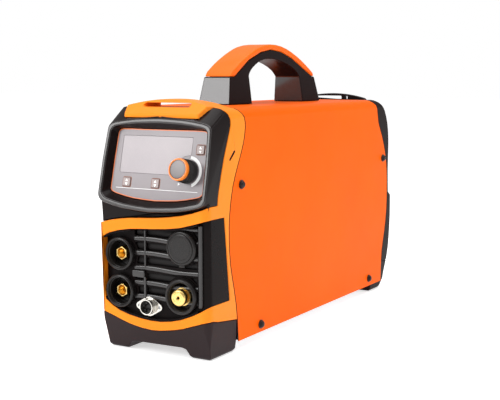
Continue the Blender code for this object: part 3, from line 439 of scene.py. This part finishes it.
def slat(name, height, radius, left, right, y, wave=0.0):
    """Round bar along X with a slow wave, flattened from front to back."""
    length = (right - left) * MM
    bpy.ops.object.select_all(action="DESELECT")
    bpy.ops.mesh.primitive_cylinder_add(vertices=12, radius=radius * MM, depth=length,
                                        rotation=(0, math.pi / 2, 0),
                                        location=((left + right) / 2 * MM, y, height * MM))
    piece = bpy.context.object
    piece.name = name
    bpy.ops.object.transform_apply(location=True, rotation=True, scale=True)
    bpy.ops.object.mode_set(mode="EDIT")
    for k in range(1, SLAT_CUTS):
        bpy.ops.mesh.select_all(action="SELECT")
        bpy.ops.mesh.bisect(plane_co=((left + (right - left) * k / SLAT_CUTS) * MM, 0, 0), plane_no=(1, 0, 0))
    bpy.ops.object.mode_set(mode="OBJECT")
    for corner in piece.data.vertices:
        along = (corner.co.x / MM - left) / (right - left)
        corner.co.z += wave * math.sin(along * math.tau) * MM
        corner.co.y = y + (corner.co.y - y) * SLAT_DEPTH
    only(piece)
    bpy.ops.object.shade_smooth_by_angle(angle=math.radians(50))
    return piece


for row, height in enumerate(SLAT_ROWS):
    bar = slat(f"louvre_slat_{row + 1}", height, SLAT_RADIUS, SLAT_LEFT, SLAT_RIGHT, pocket_y, SLAT_WAVE)
    set_in(bar, slat_nylon, "case", "dark")
for row, height in enumerate(SLAT_ROWS[:-1]):
    middle = (height + SLAT_ROWS[row + 1]) / 2
    blade = slat(f"guide_blade_{row + 1}", middle, BLADE_RADIUS, SLAT_LEFT + 1, SLAT_RIGHT - 2,
                 pocket_y + BLADE_BEHIND * MM, BLADE_WAVE)
    set_in(blade, seam_shade_and_blade_black, "case", "dark")


RIDGE_ROOT = 2


def ridge(name, left, right, low, high, proud, rounding):
    """Rounded block that stands proud of the lower panel's face, its root sunk in it."""
    place = ((left + right) / 2 * MM, pocket_y + (RIDGE_ROOT - proud) / 2 * MM, (low + high) / 2 * MM)
    bpy.ops.object.select_all(action="DESELECT")
    bpy.ops.mesh.primitive_cube_add(size=1, location=place)
    piece = bpy.context.object
    piece.name = name
    piece.scale = ((right - left) * MM, (proud + RIDGE_ROOT) * MM, (high - low) * MM)
    bpy.ops.object.transform_apply(location=True, scale=True)
    round_over(piece, rounding, segments=4)
    set_in(piece, slat_nylon, "case", "dark")


ridge("louvre_block", -36, -17, 93.5, 103, 4.2, 1.8)
ridge("louvre_lower_rib", -18.8, -15.2, 68, 95, 3.4, 1.2)
ridge("louvre_upper_rib", -18.2, -15.8, 106, 164, 2.4, 0.9)
ridge("louvre_side_rib", 62.5, 68.5, 64, 166, 4.6, 2.2)

# ---------------------------------------------------------------- control panel
# Silver-grey printed faceplate with a copper-orange edge line, sunk in the hood. The display window sits flush
# in it, its grey tint lightened with painted reflection, and the rule and the knob's scale are printed on it.
panel_up = panel_out.cross(Vector((1, 0, 0)))
if panel_up.z < 0:
    panel_up.negate()
plate_low, plate_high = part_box("control_panel")
plate_middle = (Vector(plate_low) + Vector(plate_high)) / 2
knob_axis = Vector(knob_joint["pos_m"])


def surface_of(node):
    """Furthest point of a node out of the panel, in metres along the panel's normal."""
    return max(panel_out.dot(corner.co) for corner in frame["nodes"][node].data.vertices)


def on_panel(centre, out, turn=0.0):
    """Matrix that lays something drawn on the XY plane onto the panel, its Z out of the panel."""
    centre = Vector(centre)
    centre += panel_out * (out - panel_out.dot(centre))
    axes = Matrix((Vector((1, 0, 0)), panel_up, panel_out)).transposed().to_4x4()
    return Matrix.Translation(centre) @ axes @ Matrix.Rotation(turn, 4, "Z")


silver_film = finish("silver_film", (0.205, 0.175, 0.185), (0.17, 0.145, 0.155), 0.3, 0.06, coat=0.2,
                     grain=1500.0, relief=0.008, dust=0.02)
copper_line = finish("copper_line", (0.80, 0.17, 0.025), (0.66, 0.13, 0.02), 0.35, grain=900.0, relief=0.01,
                     dust=0.0)
rust_edge = finish("rust_edge", (0.22, 0.07, 0.035), (0.16, 0.05, 0.025), 0.4, grain=900.0, relief=0.01,
                   dust=0.0)
FACES_OUT = 0.99
EDGE_SIDE = 62
EDGE_TOP = 39.5
EDGE_BOTTOM = -33
NEAR_BUTTON = 9
plate = from_frame("control_panel", "printed_faceplate")
only(plate)
bpy.ops.object.mode_set(mode="EDIT")
bpy.ops.mesh.select_mode(type="FACE")
bpy.ops.mesh.select_all(action="DESELECT")
bpy.ops.object.mode_set(mode="OBJECT")
for face in plate.data.polygons:
    face.select = face.normal.dot(panel_out) > FACES_OUT
bpy.ops.object.mode_set(mode="EDIT")
bpy.ops.mesh.inset(thickness=1.1 * MM, use_boundary=True)
bpy.ops.object.mode_set(mode="OBJECT")
set_in(plate, silver_film, "case", "silver", "control_panel")
plate.data.materials.append(copper_line)
plate.data.materials.append(rust_edge)
button_middles = [(Vector(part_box(name)[0]) + Vector(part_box(name)[1])) / 2
                  for name in ("button_left", "button_middle", "button_right")]
for face in plate.data.polygons:
    if face.select or face.normal.dot(panel_out) < FACES_OUT:
        continue
    nearest = min((face.center - middle).length for middle in button_middles)
    above = panel_up.dot(face.center - plate_middle)
    reach = abs(face.center.x) > EDGE_SIDE * MM or above > EDGE_TOP * MM or above < EDGE_BOTTOM * MM
    if nearest < NEAR_BUTTON * MM:
        face.material_index = 2
    elif reach:
        face.material_index = 1

# Display window: its own grey tint, made pale with painted reflection.
window_film_and_reflection = finish("window_film_and_reflection", (0.27, 0.23, 0.24), (0.225, 0.19, 0.205), 0.22, 0.05, coat=0.3, grain=900.0,
                     relief=0.004, dust=0.03, blotch=16.0)
finished_copy("display_window", "display_lens", 0.15, window_film_and_reflection, "case", "lens", segments=2)

print_white = finish("print_white", (0.96, 0.96, 0.95), (0.9, 0.9, 0.89), 0.45, grain=900.0, relief=0.01,
                     dust=0.0)
PRINT = 0.06
RULE_LENGTH = 121
RULE_WIDTH = 0.55
RULE_UP = -30.2
plate_out = surface_of("control_panel")
bpy.ops.object.select_all(action="DESELECT")
bpy.ops.mesh.primitive_cube_add(size=1)
rule = bpy.context.object
rule.name = "printed_rule"
rule.scale = (RULE_LENGTH * MM, RULE_WIDTH * MM, PRINT * MM)
bpy.ops.object.transform_apply(location=False, rotation=False, scale=True)
round_over(rule, 0.01, segments=1)
rule.data.transform(on_panel(plate_middle + panel_up * RULE_UP * MM, plate_out + PRINT / 2 * MM))
set_in(rule, print_white, "case", "silver")


def sweep(name, radius, width, start, end, steps):
    """Flat ribbon of a circle about Z, from start to end in degrees."""
    bpy.ops.object.select_all(action="DESELECT")
    bpy.ops.mesh.primitive_plane_add(size=1)
    piece = bpy.context.object
    piece.name = name
    piece.scale = (width * MM, PRINT * MM, 1)
    piece.rotation_euler = (math.pi / 2, 0, 0)
    piece.location = (radius * MM, 0, PRINT / 2 * MM)
    bpy.ops.object.transform_apply(location=True, rotation=True, scale=True)
    bpy.ops.object.mode_set(mode="EDIT")
    bpy.ops.mesh.select_all(action="SELECT")
    bpy.ops.mesh.spin(steps=steps, angle=math.radians(end - start), center=(0, 0, 0), axis=(0, 0, 1))
    bpy.ops.mesh.select_all(action="SELECT")
    bpy.ops.mesh.normals_make_consistent(inside=False)
    bpy.ops.object.mode_set(mode="OBJECT")
    return piece


SCALE_START, SCALE_END = 84.0, -66.0
SCALE_RADIUS = 17.7
SCALE_WIDTH = 3.8
scale_arc = sweep("printed_scale", SCALE_RADIUS, SCALE_WIDTH, SCALE_END, SCALE_START, 40)
scale_arc.data.transform(on_panel(knob_axis, plate_out, math.radians(SCALE_START)))
set_in(scale_arc, print_white, "case", "silver")


def triangle(name, size, centre, out, turn):
    """Printed triangle on the panel, its point turned from straight up."""
    bpy.ops.object.select_all(action="DESELECT")
    bpy.ops.mesh.primitive_circle_add(vertices=3, radius=size * MM, fill_type="NGON")
    piece = bpy.context.object
    piece.name = name
    bpy.ops.object.mode_set(mode="EDIT")
    bpy.ops.mesh.extrude_region_move(TRANSFORM_OT_translate={"value": (0, 0, PRINT * MM)})
    bpy.ops.mesh.select_all(action="SELECT")
    bpy.ops.mesh.normals_make_consistent(inside=False)
    bpy.ops.object.mode_set(mode="OBJECT")
    piece.data.transform(on_panel(centre, out, turn))
    return piece


start_mark = knob_axis + Vector((-11.5 * MM, 0, 0)) + panel_up * -15.5 * MM
set_in(triangle("scale_start_mark", 1.9, start_mark, plate_out, math.radians(35)), print_white, "case",
       "silver")

# ---------------------------------------------------------------- buttons
# Grey-brown caps, each printed with a pair of triangles for up and down.
cap_pale = finish("button_cap", (0.34, 0.27, 0.26), (0.26, 0.2, 0.19), 0.38, 0.08, coat=0.2, grain=900.0,
                  relief=0.01, dust=0.02)
for side in ("left", "middle", "right"):
    node = "button_" + side
    body = side + "_button"
    finished_copy(node, side + "_button_cap", 0.5, cap_pale, body, "button", segments=2)
    low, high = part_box(node)
    middle = (Vector(low) + Vector(high)) / 2
    face_out = surface_of(node)
    for way, turn, rise in (("up", 0.0, 2.1), ("down", math.pi, -2.1)):
        lift = panel_up * (rise * MM)
        mark = triangle(f"{side}_mark_{way}", 2.2, middle + lift, face_out, turn)
        set_in(mark, print_white, body, "button")

# ---------------------------------------------------------------- encoder knob
# Ribbed black knob on the encoder's shaft, with an orange collar and a grey spun disc let into its end.
knob_black = finish("knob_black", (0.012, 0.010, 0.010), (0.02, 0.017, 0.016), 0.42, 0.08, grain=900.0,
                    relief=0.02, dust=0.03)
collar_orange = finish("collar_orange", (0.93, 0.225, 0.006), (0.85, 0.19, 0.005), 0.32, 0.08, coat=0.25,
                       grain=900.0, relief=0.01, dust=0.0)
KNOB_CLEAR = 0.1
disc_grey = finish("disc_grey", (0.17, 0.155, 0.155), (0.13, 0.12, 0.12), 0.34, 0.06, metal=0.3, grain=1400.0,
                   relief=0.01, dust=0.02)


def lathe(name, profile, segments=48, hollow=False, angle=32):
    """Turned piece on the Z axis: a disc drawn out ring by ring along (radius, height) points.
    A hollow one is open right through, its last ring joined to its first."""
    bpy.ops.object.select_all(action="DESELECT")
    first_radius, first_height = profile[0]
    bpy.ops.mesh.primitive_circle_add(vertices=segments, radius=first_radius * MM, fill_type="NGON",
                                      location=(0, 0, first_height * MM))
    piece = bpy.context.object
    piece.name = name
    bpy.ops.object.transform_apply(location=True)
    bpy.ops.object.mode_set(mode="EDIT")
    bpy.ops.mesh.select_mode(type="FACE")
    bpy.ops.mesh.select_all(action="SELECT")
    for (radius, height), (next_radius, next_height) in zip(profile, profile[1:]):
        rise = (next_height - height) * MM
        bpy.ops.mesh.extrude_region_move(TRANSFORM_OT_translate={"value": (0, 0, rise)})
        grow = next_radius / radius
        bpy.ops.transform.resize(value=(grow, grow, 1), center_override=(0, 0, next_height * MM))
    if hollow:
        bpy.ops.object.mode_set(mode="OBJECT")
        for face in piece.data.polygons:
            face.select = len(face.vertices) > 4
        bpy.ops.object.mode_set(mode="EDIT")
        bpy.ops.mesh.delete(type="ONLY_FACE")
        bpy.ops.mesh.select_mode(type="EDGE")
        bpy.ops.mesh.select_all(action="DESELECT")
        bpy.ops.mesh.select_non_manifold()
        bpy.ops.mesh.bridge_edge_loops()
    bpy.ops.mesh.select_all(action="SELECT")
    bpy.ops.mesh.normals_make_consistent(inside=False)
    bpy.ops.object.mode_set(mode="OBJECT")
    only(piece)
    bpy.ops.object.shade_smooth_by_angle(angle=math.radians(angle))
    return piece


knob = lathe("ribbed_knob", [
    (3.35, 1.2), (5.5, 1.2), (5.5, 8.0), (12.4, 8.0), (12.4, 0.9), (14.2, 0.9), (14.6, 1.5), (14.6, 2.4),
    (14.1, 15.0), (13.9, 16.2), (13.5, 17.0), (11.2, 17.2), (11.2, 20.6), (3.35, 20.6)], 72, hollow=True)
GRIP_LOW, GRIP_HIGH, GRIP_RADIUS = 3, 15, 13.5
RIB_STEP = 5
RIB_DEPTH = 0.3
only(knob)
for face in knob.data.polygons:
    around = math.degrees(math.atan2(face.center.y, face.center.x)) % 360
    grip = GRIP_LOW * MM < face.center.z < GRIP_HIGH * MM and face.center.xy.length > GRIP_RADIUS * MM
    face.select = grip and int(around / RIB_STEP) % 2 == 0
bpy.ops.object.mode_set(mode="EDIT")
bpy.ops.mesh.select_mode(type="FACE")
bpy.ops.mesh.extrude_faces_move(TRANSFORM_OT_shrink_fatten={"value": -RIB_DEPTH * MM})
bpy.ops.object.mode_set(mode="OBJECT")
knob.data.transform(on_panel(knob_axis, plate_out + KNOB_CLEAR * MM))
set_in(knob, knob_black, "knob", "black", "knob_body")
collar = lathe("knob_collar", [
    (11.5, 17.5), (13.3, 17.5), (13.5, 18.2), (13.5, 21.4), (13.2, 22.3), (12.6, 22.8), (11.9, 22.8),
    (11.5, 22.5)], 72, hollow=True)
collar.data.transform(on_panel(knob_axis, plate_out + KNOB_CLEAR * MM))
set_in(collar, collar_orange, "knob", "orange", "knob_ring")
disc = lathe("knob_disc", [
    (10.9, 20.9), (11.2, 21.2), (11.2, 21.9), (10.9, 22.2), (10.2, 22.3), (10.0, 22.15), (6.0, 22.4),
    (0.4, 22.5)], 72)
disc.data.transform(on_panel(knob_axis, plate_out + KNOB_CLEAR * MM))
set_in(disc, disc_grey, "knob", "grey", "knob_cap")

# ---------------------------------------------------------------- cable sockets
# Black phenolic sockets pushed through the lower panel. Each holds a hexagonal brass contact, and a sleeve
# inside it makes a plain bore that is closed at its back.
phenolic = finish("black_phenolic", (0.006, 0.005, 0.005), (0.010, 0.008, 0.0075), 0.28, 0.12, grain=900.0,
                  relief=0.02, rub=(0.07, 0.06, 0.055), rub_amount=0.3, dust=0.012, shine=0.3)
brass = finish("turned_brass", (0.86, 0.63, 0.24), (0.72, 0.48, 0.14), 0.24, 0.14, metal=1.0, grain=1200.0,
               relief=0.012, rub=(0.95, 0.78, 0.40), rub_amount=0.5, dust=0.02, blotch=120.0)
FACE_OUT = Matrix(((1, 0, 0), (0, 0, -1), (0, 1, 0))).to_4x4()


def on_front(node, front_height):
    """Matrix that stands a piece drawn up the Z axis on a front connector's axis, pointing out.
    The drawing's height front_height lands on the node's foremost point."""
    low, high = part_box(node)
    axis = ((low[0] + high[0]) / 2, low[1] + front_height * MM, (low[2] + high[2]) / 2)
    return Matrix.Translation(axis) @ FACE_OUT


for level in ("upper", "lower"):
    body_node = "socket_body_" + level
    contact_node = "socket_contact_" + level
    ring = lathe(f"{level}_socket_shell", [
        (9.9, -24), (20, -24), (20, 0.3), (21.4, 0.3), (21.4, 5.6), (21.0, 6.8), (20.2, 7.8), (19.2, 8.2),
        (18.4, 8.0), (18.1, 7.3), (17.6, 7.0), (17.3, 6.4), (17.2, 4.6), (16.6, 4.2), (16.4, 3.6),
        (16.4, -13), (15.2, -13), (15.0, -11.4), (12.6, -11.4), (12.4, -13), (9.9, -13)], 56, hollow=True)
    ring.data.transform(on_front(body_node, 8.2))
    set_in(ring, phenolic, "case", "black", body_node)
    hexagon = lathe(f"{level}_contact", [
        (7.6, -34), (9.1, -34), (9.1, 0.9), (8.5, 1.7), (7.9, 2.0), (7.6, 1.8)], 6, hollow=True, angle=20)
    sleeve = lathe("sleeve", [
        (7.5, -30), (7.5, 1.4), (7.2, 1.8), (6.7, 1.8), (6.4, 1.4), (6.4, -13), (0.5, -15)], 40)
    bpy.ops.object.select_all(action="DESELECT")
    sleeve.select_set(True)
    hexagon.select_set(True)
    bpy.context.view_layer.objects.active = hexagon
    bpy.ops.object.join()
    hexagon.data.transform(on_front(contact_node, 2.0))
    set_in(hexagon, brass, "case", "brass", contact_node)

# ---------------------------------------------------------------- blank cap
# Soft plastic cap that closes the unused socket, with a raised rim, two fine rings and a pull tab.
cap = lathe("socket_blank_cap", [
    (15, -5.5), (15, 0.3), (21.5, 0.3), (21.5, 4.2), (21.1, 5.5), (20.2, 6.4), (19.0, 6.8), (18.5, 6.7),
    (18.2, 6.1), (17.7, 6.1), (17.4, 6.9), (16.8, 7.3), (16.0, 7.4), (14.5, 7.4), (14.3, 7.15), (13.9, 7.15),
    (13.7, 7.4), (1.0, 7.4)], 64)
CAP_RADIUS = 21.5
CAP_PROUD = 7.4
TAB_BEHIND = 5.1
TAB_DROP = 21.6
cap_low, cap_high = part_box("blank_cap")
cap_x = (cap_low[0] + cap_high[0]) / 2
cap_z = cap_high[2] - CAP_RADIUS * MM
cap.data.transform(Matrix.Translation((cap_x, cap_low[1] + CAP_PROUD * MM, cap_z)) @ FACE_OUT)
set_in(cap, phenolic, "case", "black", "blank_cap")
bpy.ops.object.select_all(action="DESELECT")
bpy.ops.mesh.primitive_cube_add(size=1, location=(cap_x, cap_low[1] + TAB_BEHIND * MM, cap_z - TAB_DROP * MM))
tab = bpy.context.object
tab.name = "blank_cap_tab"
tab.scale = (8.5 * MM, 3.2 * MM, 4.4 * MM)
bpy.ops.object.transform_apply(location=True, scale=True)
round_over(tab, 0.9)
set_in(tab, phenolic, "case", "black")

# ---------------------------------------------------------------- torch connector
# Black ring round a turned brass fitting that passes both the welding current and the shielding gas.
ring = lathe("torch_socket_shell", [
    (6.8, -20), (20, -20), (20, 0.3), (22.6, 0.3), (22.6, 5.4), (22.1, 6.8), (21.2, 7.8), (20.0, 8.2),
    (18.9, 8.0), (18.6, 7.2), (18.1, 6.9), (17.8, 5.4), (17.2, 4.9), (16.9, 4.2), (16.8, -9), (15.4, -9),
    (15.2, -7.6), (13.2, -7.6), (13.0, -9), (6.8, -9)], 64, hollow=True)
ring.data.transform(on_front("torch_socket_body", 8.2))
set_in(ring, phenolic, "case", "black", "torch_socket_body")
fitting = lathe("torch_gas_fitting", [
    (6.5, -38), (6.5, -8.6), (10.6, -8.6), (10.6, -5), (11.6, -4.2), (11.6, 1.4), (11.1, 2.0), (7.8, 2.3),
    (7.6, 2.6), (7.6, 4.4), (9.2, 5.0), (10.2, 6.0), (10.2, 10.8), (9.8, 11.6), (9.0, 12.2), (8.2, 12.6),
    (6.4, 12.6), (6.1, 12.2), (5.7, 12.2), (5.4, 12.5), (2.9, 12.3), (1.9, 11.5), (1.7, 10.4), (1.6, -6)], 56)
fitting.data.transform(on_front("torch_fitting", 12.6))
set_in(fitting, brass, "case", "brass", "torch_fitting")

# ---------------------------------------------------------------- control plug socket
# Die-cast chromed flange with two fixing holes, and a black insert that carries the pins.
chrome = finish("bright_chrome", (0.62, 0.60, 0.56), (0.48, 0.46, 0.42), 0.12, 0.08, metal=1.0, grain=500.0,
                relief=0.012, dust=0.02, blotch=60.0)
finished_copy("aviation_flange", "control_plug_flange", 0.45, chrome, "case", "chrome", segments=2)
finished_copy("aviation_insert", "control_plug_insert", 0.15, phenolic, "case", "black", segments=2)
flange_low, flange_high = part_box("aviation_flange")
flange_z = (flange_low[2] + flange_high[2]) / 2
BOLT_OFFSET = 15.4
BOLT_SEAT = 9.5
for side in (-1, 1):
    bolt = lathe(f"flange_screw_{'left' if side < 0 else 'right'}", [
        (1.45, -3), (1.45, 1.9), (1.2, 2.3), (0.5, 2.3), (0.45, 1.5)], 16)
    bolt_x = (flange_low[0] + flange_high[0]) / 2 + side * BOLT_OFFSET * MM
    bolt.data.transform(Matrix.Translation((bolt_x, flange_low[1] + BOLT_SEAT * MM, flange_z)) @ FACE_OUT)
    set_in(bolt, zinc_plate, "case", "zinc")

# ---------------------------------------------------------------- handle
# Charcoal nylon arch bolted through the cover, its forward faces given a lighter, glossier copy of the nylon as
# painted sheen, with a soft orange grip moulded over its top.
soft_grip = finish("soft_orange_grip", (0.92, 0.155, 0.004), (0.85, 0.135, 0.003), 0.4, 0.08, grain=900.0,
                   relief=0.05, rub=(0.95, 0.32, 0.1), rub_amount=0.2, dust=0.03, shine=0.12)
leg_painted_sheen = finish("leg_painted_sheen", (0.02, 0.015, 0.015), (0.014, 0.011, 0.011), 0.24, 0.06, coat=0.85,
                   grain=800.0, relief=0.015, rub=(0.08, 0.07, 0.065), rub_amount=0.2, dust=0.01, shine=0.2)
arch = finished_copy("handle_core", "handle_arch", 1.6, dark_nylon, "case", "dark")
arch.data.materials.append(leg_painted_sheen)
FACES_FRONT = -0.8
# Forward faces of the arch take the lighter, glossier copy: painted sheen.
for face in arch.data.polygons:
    if face.normal.y < FACES_FRONT:
        face.material_index = 1
finished_copy("handle_grip", "handle_soft_grip", 2.6, soft_grip, "case", "orange", segments=4)
for place in ("front", "rear"):
    finished_copy("handle_bolt_" + place, f"handle_{place}_bolt", 0.3, zinc_plate, "case", "zinc", segments=2)

# ---------------------------------------------------------------- cover screws
# Black pan-head screws with a cross recess, each on its own washer, four to a side.
HEAD_HEIGHT = 4.6
SCREW_SPIN = 11
screw_black = finish("blackened_steel", (0.018, 0.014, 0.014), (0.010, 0.009, 0.009), 0.3, 0.15, metal=0.3,
                     grain=700.0, relief=0.02, rub=(0.22, 0.19, 0.18), rub_amount=0.5, dust=0.01, shine=0.3)
screw = lathe("cover_screw", [(2.0, -7), (2.0, 0), (5.6, 0), (5.8, 0.3), (5.8, 0.9), (5.5, 1.2), (4.3, 1.2),
                              (4.6, 1.5), (4.45, 2.7), (3.7, 3.7), (2.4, 4.4), (0.4, 4.6)], 40)
for turn in (0, math.pi / 2):
    bpy.ops.object.select_all(action="DESELECT")
    bpy.ops.mesh.primitive_cube_add(size=1, location=(0, 0, 4.4 * MM), rotation=(0, 0, turn))
    slot_cutter = bpy.context.object
    slot_cutter.scale = (4.4 * MM, 0.8 * MM, 2.6 * MM)
    bpy.ops.object.transform_apply(location=True, rotation=True, scale=True)
    apply_modifier(screw, "BOOLEAN", object=slot_cutter, operation="DIFFERENCE", solver="EXACT")
    bpy.data.objects.remove(slot_cutter)
screw_shape = screw.data
for side, sign in (("left", -1), ("right", 1)):
    for place in ("front", "rear", "front_low", "rear_low"):
        node = f"cover_screw_{side}_{place}"
        low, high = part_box(node)
        head_x = (high[0] if sign > 0 else low[0]) - sign * HEAD_HEIGHT * MM
        axis = (head_x, (low[1] + high[1]) / 2, (low[2] + high[2]) / 2)
        copy = bpy.data.objects.new(f"{side}_{place}_screw", screw_shape.copy())
        bpy.context.scene.collection.objects.link(copy)
        spin = Matrix.Rotation(math.radians(len(node) * SCREW_SPIN), 4, "Z")
        turn = Matrix.Rotation(sign * math.pi / 2, 4, "Y") @ spin
        copy.data.transform(Matrix.Translation(axis) @ turn)
        set_in(copy, screw_black, "case", "black", node)
bpy.data.objects.remove(screw)

# ---------------------------------------------------------------- rear panel, fan and fittings
# Black steel plate in the rear moulding with the fan behind a slotted guard, the mains rocker,
# the supply cable's gland and the shielding gas inlet.
satin_black = finish("satin_black", (0.014, 0.013, 0.013), (0.020, 0.018, 0.018), 0.42, 0.1, grain=500.0,
                     relief=0.03, rub=(0.2, 0.18, 0.17), rub_amount=0.3, dust=0.06)
rocker_red = finish("rocker_red", (0.55, 0.012, 0.010), (0.42, 0.01, 0.01), 0.25, 0.06, coat=0.4, grain=900.0,
                    relief=0.01, dust=0.02)
finished_copy("rear_panel", "rear_plate", 0.3, satin_black, "case", "black", segments=2)
finished_copy("fan_guard", "fan_finger_guard", 0.5, satin_black, "case", "black", segments=2)
finished_copy("fan_frame", "fan_housing", 0.6, satin_black, "case", "black", segments=2)
finished_copy("fan_rotor", "fan_impeller", 0.4, satin_black, "fan", "black", segments=2)
finished_copy("switch_body", "switch_surround", 0.5, phenolic, "case", "black", segments=2)
finished_copy("switch_rocker", "mains_rocker", 0.5, rocker_red, "power_rocker", "red", segments=2)
finished_copy("cable_gland", "supply_gland", 0.5, phenolic, "case", "black", segments=2)
finished_copy("gas_inlet", "gas_barb", 0.25, brass, "case", "brass", segments=2)

# ---------------------------------------------------------------- inside the case
# The power section as its own solids: boards, heatsinks, wound parts, capacitors and the gas valve.
inner_finishes = {
    "display_module": finish("display_back", (0.20, 0.21, 0.20), (0.15, 0.16, 0.15), 0.3, dust=0.0),
    "control_board": finish("green_board", (0.012, 0.10, 0.035), (0.008, 0.07, 0.025), 0.4, coat=0.3,
                            dust=0.05),
    "encoder_body": zinc_plate,
    "encoder_shaft": finish("milled_steel", (0.5, 0.5, 0.5), (0.4, 0.4, 0.4), 0.3, 0.15, metal=1.0, dust=0.0),
    "power_board": finish("power_board_green", (0.014, 0.11, 0.04), (0.01, 0.08, 0.03), 0.4, coat=0.3,
                          dust=0.1),
    "heatsink_front": finish("bare_aluminium", (0.62, 0.62, 0.63), (0.5, 0.5, 0.52), 0.34, 0.12, metal=1.0,
                             dust=0.1),
    "support_bracket": zinc_plate,
    "transformer_core": finish("ferrite_core", (0.045, 0.045, 0.05), (0.03, 0.03, 0.033), 0.6, dust=0.1),
    "transformer_winding": finish("enamelled_copper", (0.42, 0.12, 0.03), (0.3, 0.08, 0.02), 0.35, metal=0.6,
                                  dust=0.05, blotch=160.0),
    "capacitor_front": finish("capacitor_sleeve", (0.012, 0.03, 0.14), (0.008, 0.02, 0.1), 0.3, coat=0.4,
                              dust=0.08),
    "gas_valve": zinc_plate,
    "hf_unit": finish("potting_grey", (0.16, 0.16, 0.165), (0.11, 0.11, 0.115), 0.5, dust=0.1),
}
inner_finishes["heatsink_rear"] = inner_finishes["heatsink_front"]
inner_finishes["output_reactor"] = inner_finishes["transformer_winding"]
inner_finishes["capacitor_rear"] = inner_finishes["capacitor_front"]
for node, material in inner_finishes.items():
    slots = frame["nodes"][node].data.materials
    slots.clear()
    slots.append(material)
